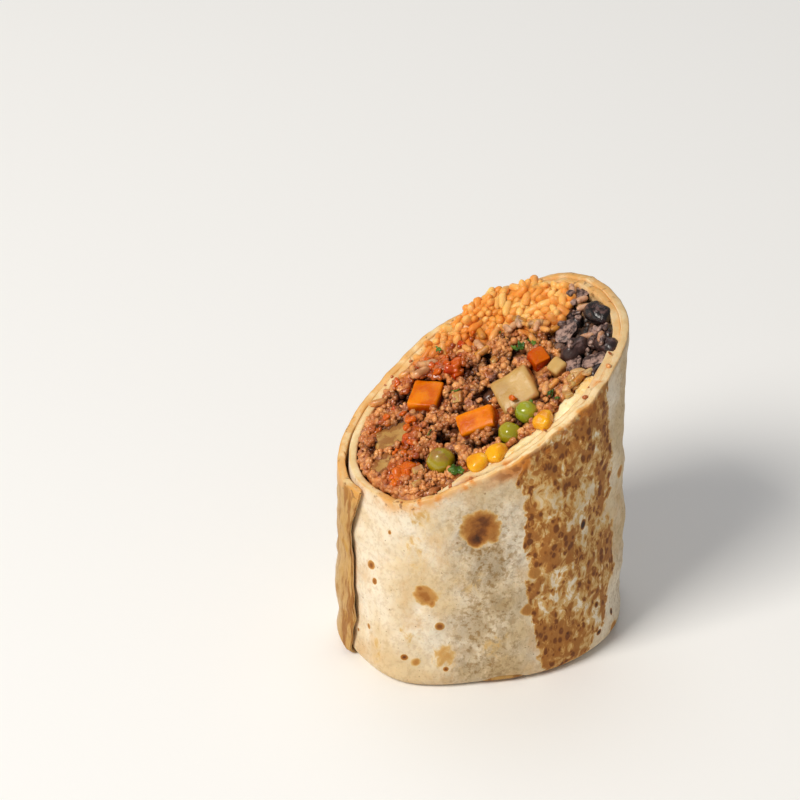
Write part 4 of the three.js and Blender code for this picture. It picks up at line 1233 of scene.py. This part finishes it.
mash_reach = draw.uniform(0.7, 1.5, len(places))
free = clear_of_pieces(mash_balls, -0.6)
mash_balls, mash_reach = mash_balls[free], mash_reach[free]
mash_tone = draw.random(len(mash_balls))
places = scattered(1.7, 35, 0.4)
bed = on_cut(places[(filling_at(places) == BEANS) & (to_wall(places) > 1.5)], -4.6)
reach = np.concatenate([mash_reach, np.full(len(bed), 1.5)])
points, faces, _ = lumps_from(np.concatenate([mash_balls, bed]), reach, 0.4, 0.7, 1.6, mash)
x, y, _ = points.T
stain = np.maximum(hump(x, 29.5, 4) * hump(y, 3.4, 3.2), hump(x, 23.5, 4) * hump(y, -23, 3))
mash_marks = {"tone": tones_near(points, mash_balls, mash_tone), "sunk": gap_shade_below(points, 3.0)}
mash_marks["stain"] = 0.85 * stain
core = filling_core("beans", -4.6)
# the core below is painted dark as shade
bean_shape = joined([beans, (points, faces, mash_marks), (*core, {"tone": 0.2, "sunk": 0.7})])
black_beans = new_piece("black_beans", bean_shape, bean_skin)
black_beans.data.materials.append(mash)
which_finish = np.arange(len(bean_shape[1])) >= len(beans[1])
black_beans.data.polygons.foreach_set("material_index", which_finish.astype(np.int32))
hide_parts("beans")
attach(black_beans, "root")

# ==== Rice ==============================================================================================
# Medium-grain rice stewed in tomato and stock until orange, heaped against the back of the roll. The grains
# are packed in several layers, pushed apart until they hardly overlap, and grown by Geometry Nodes.
GRAIN_LENGTH, GRAIN_WIDTH = 5.2, 2.65
LAYERS = [(0.0, 2.3, 53), (-1.5, 2.45, 54), (-3.2, 2.8, 56), (-5.0, 3.2, 58)]  # depth, spacing, seed
BEADS = np.array([-1, -0.34, 0.34, 1]) * (GRAIN_LENGTH - GRAIN_WIDTH) / 2  # where grains touch, along each
HEAP = [  # x, height
    (-12, 0.6), (-4, 2.2), (2, 3.8), (8, 5.6), (14, 5.8), (18, 4.4), (24, 3.4), (28, 2.0), (33, 0.6),
]


def rice_top(points):
    """How far the heap stands over the cut: highest by the back wall, where it hides the dough's edge."""
    crest = np.interp(points[:, 0], *zip(*HEAP))
    return -0.3 + crest * rise(13 - to_wall(points), 0, 10) + 0.45 * ripples(points[:, :2], 9, 51)


def unit(ways):
    return ways / np.linalg.norm(ways, axis=1, keepdims=True)


def packed_grains():
    """The middle, the way and the size of every grain of the heap."""
    draw = np.random.default_rng(52)
    middles, ways = [], []
    for layer, spacing, seed in LAYERS:
        places = scattered(spacing, seed, 0.9)
        in_rice = (filling_at(places) == RICE) & (to_wall(places) > 1.1)
        places = places[in_rice & (rice_top(places) + layer > -4.4)]
        middles.append(on_cut(places, rice_top(places) - 1.1 + layer + draw.uniform(-0.5, 0.5, len(places))))
        way = draw.normal(size=(len(places), 3)) * [1, 1, 0.85]
        way[:, 2] += CUT_SLOPE * way[:, 0]
        ways.append(unit(way))
    middles, ways = np.concatenate(middles), np.concatenate(ways)
    free = clear_of_pieces(middles, 0.8)
    middles, ways = middles[free], ways[free]
    sizes = draw.uniform(0.78, 1.15, len(middles))
    target = np.minimum(rice_top(middles) - 0.9, over_cut(middles))
    owner = np.repeat(np.arange(len(middles)), len(BEADS))
    wanted = GRAIN_WIDTH * 0.68 * (sizes[owner][:, None] + sizes[owner]) / 2
    for _ in range(40):
        beads = (middles[:, None] + ways[:, None] * BEADS[:, None] * sizes[:, None, None]).reshape(-1, 3)
        gap = beads[:, None] - beads
        distance = np.linalg.norm(gap, axis=2)
        push = np.where((distance < wanted) & (owner[:, None] != owner), wanted - distance, 0)
        move = (gap / np.maximum(distance, 1e-6)[..., None] * push[..., None]).sum(1) * 0.22
        move = move.reshape(-1, len(BEADS), 3)
        middles = middles + move.mean(1)
        ways = unit(ways + (move * BEADS[:, None]).sum(1) / (BEADS ** 2).sum())
        middles[:, 2] += 0.25 * (target - over_cut(middles))
        middles[:, :2] -= unit(middles[:, :2]) * np.clip(1.1 - to_wall(middles), 0, 1)[:, None]
    return middles, ways, sizes


def sauce_on_rice(points):
    """The sauce has run into the rice along the low side and beside the mince; along the low side the
    darkening also stands in part for painted shade.
    """
    x, y = points.T[:2]
    beside = y - np.interp(x, *zip(*RICE_LINE))
    return np.clip(rise(-x, 3, 20) + 0.45 * (1 - rise(beside, 0.5, 5)), 0, 1)


# one grain at each point, blunt at its ends, bowed, and each bent a little differently
grains_tree, given, result = new_tree("rice grains", {"Length": 0.006, "Width": 0.0025, "Unevenness": 0.0004})
inputs = {"Segments": 8, "Rings": 7, "Radius": 0.5}
round_form = add(grains_tree, "GeometryNodeMeshUVSphere", inputs).outputs[0]
position = add(grains_tree, "GeometryNodeInputPosition").outputs[0]
x, y, z = add(grains_tree, "ShaderNodeSeparateXYZ", {0: position}).outputs
blunt = times(maths("POWER", times(maths("ABSOLUTE", z), 2.0), 0.55), 0.5)
blunt = times(blunt, maths("SIGN", z))
bowed = times_plus(times(blunt, blunt), 0.5, x)
position = add(grains_tree, "ShaderNodeCombineXYZ", {0: bowed, 1: y, 2: blunt}).outputs[0]
form = add(grains_tree, "GeometryNodeSetPosition", {"Geometry": round_form, "Position": position}).outputs[0]
inputs = {0: given["Width"], 1: times(given["Width"], 0.9), 2: given["Length"]}
stretch = add(grains_tree, "ShaderNodeCombineXYZ", inputs).outputs[0]
grain = add(grains_tree, "GeometryNodeTransform", {"Geometry": form, "Scale": stretch}).outputs[0]
hand_back(roughened(strewn(grain, given, "FLOAT"), 260.0, 1.0, given["Unevenness"]), given["Finish"], result)

rice_grain, shader, place = new_finish("stewed orange rice")
saucy = times(mark_of(place, "gravy"), step(cloud(place, 3.0, 3.0), 0.34, 0.62, 0.3, 1.0))
orange = layered(
    (232, 150, 62),
    (step(mark_of(place, "tone"), 0.1, 0.9), (247, 194, 112)),
    (step(cloud(place, 7, 3.0), 0.42, 0.64, 0.0, 0.75), (240, 148, 56)),
    (step(cloud(place, 1.6, 2.0), 0.55, 0.72, 0.0, 0.5), (250, 206, 146)),
    # painted shade: a deeper orange deep in the gaps between the grains
    (step(mark_of(place, "sunk"), 0.35, 1.0, 0.0, 0.5), (222, 126, 40)),
    # sauce stain, in part painted shade towards the low end
    (times(saucy, 0.95), (196, 92, 18)),
)
roughness, relief = step(cloud(place, 2), 0.35, 0.65, 0.3, 0.5), cloud(place, 1.0, 2.0)
surface(shader, orange, roughness, relief, 0.16, (0.45, (1.0, 0.68, 0.36), 0.0016), (0.08, 0.2), 0.3)

middles, ways, sizes = packed_grains()
draw = np.random.default_rng(57)
values = {"Length": GRAIN_LENGTH / 1000, "Width": GRAIN_WIDTH / 1000, "Finish": rice_grain}
tone = draw.random(len(middles))
points, faces, marks = grown(middles, grains_tree, values, way=ways, size=sizes, tone=tone)
grains = (points, faces, marks | {"sunk": gap_shade_below(points, 4.5), "gravy": sauce_on_rice(points)})
places = scattered(1.7, 58, 0.4)
places = places[(filling_at(places) == RICE) & (to_wall(places) > 1.6)]
bed = on_cut(places, rice_top(places) - 2.35)
points, faces, _ = lumps_from(bed, np.full(len(bed), 1.5), 0.7, 0.8, 2.0, rice_grain)
# the paste and the core beneath it are painted darker as shade
paste = (points, faces, {"tone": 0.3, "sunk": 0.6, "gravy": sauce_on_rice(points)})
rice_shape = joined([grains, paste, (*filling_core("rice", -4.0), {"sunk": 1.0})])
rice = new_piece("orange_rice", rice_shape, rice_grain)
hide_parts("rice")
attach(rice, "root")

# ==== Melted cheese =====================================================================================
# A tongue of melted pale cheese between the filling and the front of the wall. It has run and set again, so
# its top is soft, thick in places and stained by the gravy.
CHEESE_FOOT = FOOT_DEPTH + 0.35
angles = np.radians(np.linspace(-130, -40, 130))
levels = np.concatenate([np.linspace(0, 0.9, 8)[:-1], np.linspace(0.9, 1, 8)])
profile = [(0.0, level) for level in levels]  # share of the thickness, share of the height
profile += [(0.18, 1.004), (0.4, 1.007), (0.65, 1.006), (0.88, 1.002)]
profile += [(1.0, level) for level in levels[::-1]]
run = np.stack([np.degrees(angles) * 0.6, 0 * angles], -1)
uneven = (0.4 * ripples(run, 7, 61) + 0.14 * ripples(run, 2.6, 64)) * cheese_share(angles)
thick = 0.3 + cheese_width(angles) + uneven
tops = cut_height(room_radius(angles, CUT_HEIGHT) * np.cos(angles)) - 0.9
tops += 0.35 * ripples(run, 9, 62) + 0.12 * ripples(run, 3.4, 65)
grid = []
for inward, level in profile:
    z = CHEESE_FOOT + (tops - CHEESE_FOOT) * level
    radius = room_radius(angles, z) + 0.25 - inward * thick
    grid.append(ring(angles, radius + 0.2 * inward * ripples(ring(angles, radius, z), 4, 63), z))
grid = np.array(grid).transpose(1, 0, 2)
index = np.arange(grid.shape[0] * grid.shape[1]).reshape(grid.shape[:2])
cheese_faces = quads(index) + [index[0][::-1].tolist(), index[-1].tolist()]
melted_cheese, shader, place = new_finish("melted cheese")
pale = layered(
    (238, 205, 142),
    (step(cloud(place, 4, 3.0), 0.35, 0.65), (248, 228, 180)),
    (step(cloud(place, 2.4, 3.0, 0.6), 0.56, 0.7, 0.0, 0.8), (232, 168, 60)),
    (mark_of(place, "stain"), (196, 140, 84)),
)
roughness, relief = step(cloud(place, 2.5), 0.35, 0.65, 0.25, 0.42), cloud(place, 1.8, 3.0)
surface(shader, pale, roughness, relief, 0.25, (0.35, (1.0, 0.75, 0.4), 0.002))
cheese = new_piece("melted_cheese", (grid.reshape(-1, 3), cheese_faces, {}), melted_cheese)
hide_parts("cheese")
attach(cheese, "root")

# ==== Loose grains ======================================================================================
# Rice grains that the knife dragged out of the heap: on the mince along its border, and stained brown or
# yellow between the beans. They are the heap's own grains, laid on whatever lies beneath them.
FLATTENED = 40  # heights count this much less than sideways distances when the surface is looked for
surface_points = np.concatenate([shape[0] for shape in (mince_shape, crumb_shape, bean_shape, rice_shape)])
resting_on = KDTree(len(surface_points))
for order, point in enumerate(surface_points / [1, 1, FLATTENED]):
    resting_on.insert(point, order)
resting_on.balance()


def top_at(x, y, reach=0.9):
    """Height of the filling's surface here."""
    level = cut_height(x) + 1
    found = [point[2] * FLATTENED for point, _, _ in resting_on.find_range((x, y, level / FLATTENED), reach)]
    return max(found, default=level - 2)


def lay_loose(groups, seed, sink):
    """Uneven places on the filling for small loose things; each group is (x, y, spread, how many)."""
    draw = np.random.default_rng(seed)
    places = np.concatenate([[x, y] + draw.normal(size=(many, 2)) * spread for x, y, spread, many in groups])
    places = places[to_wall(places) > 1.2]
    middles = np.array([[x, y, top_at(x, y) - sink] for x, y in places])
    middles = middles[clear_of_pieces(middles, 0.2)]
    ways = draw.normal(size=(len(middles), 3)) * [1, 1, 0.3]
    ways[:, 2] += CUT_SLOPE * ways[:, 0]
    return middles, unit(ways), draw


STRAY_GROUPS = [
    (27, -6, 3.5, 1), (30, 3, 2.5, 3), (20.5, 4.5, 2.2, 7), (15, 8.5, 2.4, 7), (5, 14, 2.6, 6),
    (-12, 19.5, 3.0, 6), (-24, 20, 3.0, 5), (26, -15, 3, 2), (12, -19, 2.0, 3),
]
stained_grain, shader, place = new_finish("stained rice grain")
tone = mark_of(place, "tone")
stained = layered(
    (200, 132, 40),
    (step(tone, 0.0, 0.5), (230, 160, 84)),
    (step(tone, 0.6, 1.0), (204, 158, 126)),
    (step(cloud(place, 1.4, 3.0), 0.45, 0.65, 0.0, 0.6), (150, 92, 48)),
)
roughness, relief = step(cloud(place, 2), 0.35, 0.65, 0.28, 0.5), cloud(place, 1.0, 2.0)
surface(shader, stained, roughness, relief, 0.14, (0.4, (1.0, 0.6, 0.3), 0.002))
middles, ways, draw = lay_loose(STRAY_GROUPS, 111, 0.2)
sizes = draw.uniform(0.8, 1.1, len(middles))
tone = np.where(filling_at(middles) == BEANS, 1, draw.random(len(middles)))
values = {"Length": 0.005, "Width": 0.0022, "Finish": stained_grain}
stray_shape = grown(middles, grains_tree, values, way=ways, size=sizes, tone=tone)
stray_rice = new_piece("stray_rice", stray_shape, stained_grain)
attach(stray_rice, "root")


# ==== Scraps by the beans ===============================================================================
# Torn bits of bean flesh, mealy and grey-mauve, lying on the beans, and crumbs of set cheese beside them.
# Both are small soft lumps of uneven shape, laid on or pressed a little into whatever is beneath.
def tumbled(points, middle, draw, sideways=(-25, 25), forward=(-50, 0)):
    turned = tilt(draw.uniform(0, 360), (draw.uniform(*sideways), draw.uniform(*forward)))
    return points @ turned.T + middle


def soft_lumps(middles, smallest, largest, seed, draw, uneven=0.35):
    parts = []
    for order, middle in enumerate(middles):
        points, faces = ball(14, 10)
        points = squarer(points, 0.85) * draw.uniform(smallest, largest)
        points = swollen(points, uneven * ripples(points + 9 * order, 1.7, seed))
        parts.append((tumbled(points, middle, draw), faces, {"tone": draw.random()}))
    return parts


BEAN_SCRAPS = [
    (29, -9.3, 0.8, 3), (22.9, 0.3, 0.7, 2), (25.5, -12.7, 0.9, 3), (27.9, -16.6, 0.8, 3),
    (20.7, -10.3, 0.6, 2), (19.8, -13.9, 0.8, 3), (23.2, -18.4, 1.2, 4), (28.5, 1.6, 1.0, 3),
    (30, 6.5, 0.9, 2),
]
CHEESE_CRUMBS = [(18.6, -19.4, 0.7, 2), (20.2, -21.6, 0.6, 2), (14.6, -22.8, 0.8, 2), (17.4, -21.6, 0.5, 1)]
middles, _, draw = lay_loose(BEAN_SCRAPS, 155, 0.0)
points, faces, marks = joined(soft_lumps(middles, [1.2, 1.0, 0.8], [2.7, 2.0, 1.5], 156, draw, 0.24))
bean_scraps = new_piece("bean_scraps", (points, faces, marks | {"cut_face": 1.0}), bean_skin)
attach(bean_scraps, "root")
middles, _, draw = lay_loose(CHEESE_CRUMBS, 157, 0.6)
points, faces, _ = joined(soft_lumps(middles, [2.4, 1.8, 1.1], [4.4, 3.0, 1.8], 158, draw, 0.13))
marks = {"stain": 0.75 + 0.2 * ripples(points, 3, 159)}
cheese_crumbs = new_piece("cheese_crumbs", (points, faces, marks), melted_cheese)
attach(cheese_crumbs, "root")

# ==== Onion =============================================================================================
# Chopped onion, stewed until glassy and stained by the gravy: small flat blocks with soft corners, pale and
# wet, lying loose on the mince.
ONION_GROUPS = [
    (-9.7, -0.9, 0.4, 1), (12.5, -21.5, 1.8, 4), (-26, -16, 2.2, 2), (-32, -8, 2, 1), (9, 6, 2, 1),
]
onion_flesh, shader, place = new_finish("stewed onion")
glassy = layered((196, 160, 96), (step(cloud(place, 1.6, 3.0), 0.38, 0.64), (180, 116, 52)))
roughness, relief = step(cloud(place, 1.6), 0.4, 0.65, 0.15, 0.35), cloud(place, 1.0, 3.0)
surface(shader, glassy, roughness, relief, 0.2, (0.5, (1.0, 0.8, 0.5), 0.002), (0.3, 0.12))
middles, _, draw = lay_loose(ONION_GROUPS, 121, 0.4)
parts = []
for order, middle in enumerate(middles):
    size = (draw.uniform(2.4, 3.8), draw.uniform(2.0, 3.0), draw.uniform(1.0, 1.7))
    points, faces = block(size, 0.45, 131 + order, 7)
    parts.append((tumbled(points, middle + [0, 0, 0.6], draw), faces, {}))
onion_bits = new_piece("onion_bits", joined(parts), onion_flesh)
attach(onion_bits, "root")

# ==== Chopped herb ======================================================================================
# Shreds of cilantro stirred through the mince: specks of green, curled by the heat. Each is the same lobed
# sheet as a whole leaf, only smaller, and tumbled as it fell.
HERB_GROUPS = [
    (12, 3.4, 1.0, 2), (5.4, -17.2, 0.8, 3), (8, -21, 1.6, 3), (-20, -23, 2, 2), (0, 2, 9, 3), (17, 5, 2, 2),
    (-26, 0, 7, 2),
]
middles, _, draw = lay_loose(HERB_GROUPS, 141, 0.0)
parts = []
for order, middle in enumerate(middles):
    points, faces = leaf(draw.uniform(1.5, 3.0), draw.uniform(1.0, 2.0), 5 + order)
    parts.append((tumbled(points * [1, 1, 0.7], middle, draw, (-20, 30), (-45, -5)), faces, {}))
herb_shreds = new_piece("herb_shreds", joined(parts), leaf_green)
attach(herb_shreds, "root")

# ==== Tomato shreds =====================================================================================
# Scraps of tomato flesh and orange pulp stirred through the saucy side of the mince, soft, wet and uneven.
# One more scrap lies on the big potato.
SHREDS = [
    (-3.4, 15.2, 1.2, 3), (-9.4, 17.4, 2.0, 4), (-22.6, 1.8, 1.4, 3), (-27.8, -2.6, 1.2, 2),
    (-30.4, -11.4, 2.6, 5), (-35.0, -10.6, 1.4, 3), (-13, 19.6, 2.4, 3), (-18, 6, 4, 3),
    (3.5, 17.6, 2.0, 2), (-26, 12, 3, 3), (3.0, -12.6, 0.2, 1),
]
middles, _, draw = lay_loose(SHREDS, 151, 0.35)
parts = soft_lumps(middles, [1.8, 1.4, 1.0], [3.4, 2.4, 1.7], 152, draw)
points, faces = ball(14, 10)
points = points * [1.5, 2.4, 1.2] * (1 + 0.2 * ripples(points, 0.6, 153))[:, None]
parts.append((press_in(points, (1.7, -12.9), 1.75, 30, (20, -38)), faces, {"tone": 0.9}))
tomato_shreds = new_piece("tomato_shreds", joined(parts), tomato_flesh)
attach(tomato_shreds, "root")

# ==== Rim scraps ========================================================================================
# What the knife smeared over the tortilla's cut edge: crumbs of mince, a little reddened by gravy, lying on
# the dough in front and at the back. They are the mince's own crumbs, flattened.
draw = np.random.default_rng(171)
degrees = np.concatenate([draw.uniform(-156, -112, 8), draw.uniform(-100, -30, 5), draw.uniform(70, 130, 5)])
angles = np.radians(degrees)
radius = room_radius(angles, CUT_HEIGHT) + draw.uniform(0.8, 2.3, len(angles))
middles = ring(angles, radius, rim_height(degrees % 360 + 360) + 0.1)
ways = draw.normal(size=(len(middles), 3))
sizes = draw.uniform(0.5, 1.3, (len(middles), 1)) * draw.uniform(0.7, 1.3, (len(middles), 3)) * [1, 1, 0.7]
tone = draw.random(len(middles))
values = {"Diameter": 0.0014, "Roughness": 0.0006, "Finish": mince_meat}
points, faces, marks = grown(middles, crumbs_tree, values, way=ways, size=sizes, tone=tone)
rim_scraps = new_piece("rim_scraps", (points, faces, marks | {"gravy": 0.12}), mince_meat)
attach(rim_scraps, "root")

# ==== Gravy =============================================================================================
# Thin tomato gravy standing in the gaps of the mince where it ran down: red-orange, oily and bright where it
# catches the light. Geometry Nodes fuse it from small drops laid just under the crests of the heap.
gravy_film, shader, place = new_finish("tomato gravy")
sauce = layered((150, 60, 12), (step(cloud(place, 2.6, 3.0, 0.6), 0.36, 0.64), (190, 100, 30)))
roughness, relief = step(cloud(place, 2), 0.4, 0.65, 0.12, 0.3), cloud(place, 0.9, 3.0, 0.6)
surface(shader, sauce, roughness, relief, 0.2, (0.3, (1.0, 0.3, 0.08), 0.0015), (0.3, 0.1))
places = scattered(1.3, 161, 0.9)
places = places[(filling_at(places) == MINCE) & (to_wall(places) > 1.6) & (gravy_near(places) > 0.22)]
drops = np.array([[x, y, top_at(x, y, 1.6) - 2.0] for x, y in places])
drops = drops[clear_of_pieces(drops, -0.4)]
film = lumps_from(drops, np.full(len(drops), 0.85), 0.5, 0.4, 1.6, gravy_film)
gravy_pools = new_piece("gravy_pools", film, gravy_film)
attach(gravy_pools, "root")

# ==== Table, light and camera ===========================================================================
# A plain pale table under soft studio light: a broad window of light from the upper left, a weak one from the
# right and an even pale room. The camera looks down on the cut from the front, a little to the left.
TABLE_REACH = 3000
corners = np.array([[-1, -1, 0], [1, -1, 0], [1, 1, 0], [-1, 1, 0]]) * TABLE_REACH
pale_table, shader, place = new_finish("pale table")
white = layered((246, 246, 246), (cloud(place, 300, 2.0), (250, 250, 249)))
pale_table.node_tree.links.new(white, shader.inputs["Base Color"])
shader.inputs["Roughness"].default_value = 0.75
floor = new_piece("pale_floor", (corners, [[0, 1, 2, 3]], {}), pale_table)

scene = bpy.context.scene
scene.view_settings.view_transform = "Standard"
world = bpy.data.worlds.new("pale room")
world.use_nodes = True
world.node_tree.nodes["Background"].inputs["Color"].default_value = (1, 1, 1, 1)
world.node_tree.nodes["Background"].inputs["Strength"].default_value = 0.27
scene.world = world


def looking_back(azimuth, elevation):
    """The way from the burrito to something that looks at it from this side and this high, in degrees."""
    a, e = np.radians([azimuth, elevation])
    return Vector((np.sin(a) * np.cos(e), -np.cos(a) * np.cos(e), np.sin(e)))


def window(name, azimuth, elevation, size, power, colour=(1, 1, 1)):
    """A square area light two metres away that faces the middle of the roll."""
    lamp = bpy.data.lights.new(name, "AREA")
    lamp.size, lamp.energy, lamp.color = size, power, colour
    light = bpy.data.objects.new(name, lamp)
    back = looking_back(azimuth, elevation)
    light.location = Vector((0, 0, 0.05)) + back * 2
    light.rotation_euler = back.to_track_quat("Z", "Y").to_euler()
    scene.collection.objects.link(light)


window("key window", -76, 46, 0.75, 34.6, (1.0, 0.955, 0.88))
window("top window", 160, 62, 1.2, 6.5)

AZIMUTH, ELEVATION, DISTANCE, SHIFT_RIGHT, SHIFT_UP = -24, 34, 0.876, -0.0240, 0.0611
back = looking_back(AZIMUTH, ELEVATION)
right = Vector((np.cos(np.radians(AZIMUTH)), np.sin(np.radians(AZIMUTH)), 0))
up = back.cross(right)
lens = bpy.data.cameras.new("camera")
lens.lens, lens.sensor_width, lens.clip_start = 135, 36, 0.01
camera = bpy.data.objects.new("camera", lens)
place = Matrix.Translation(back * DISTANCE + right * SHIFT_RIGHT + up * SHIFT_UP)
camera.matrix_world = place @ Matrix((right, up, back)).transposed().to_4x4()
scene.collection.objects.link(camera)
scene.camera = camera
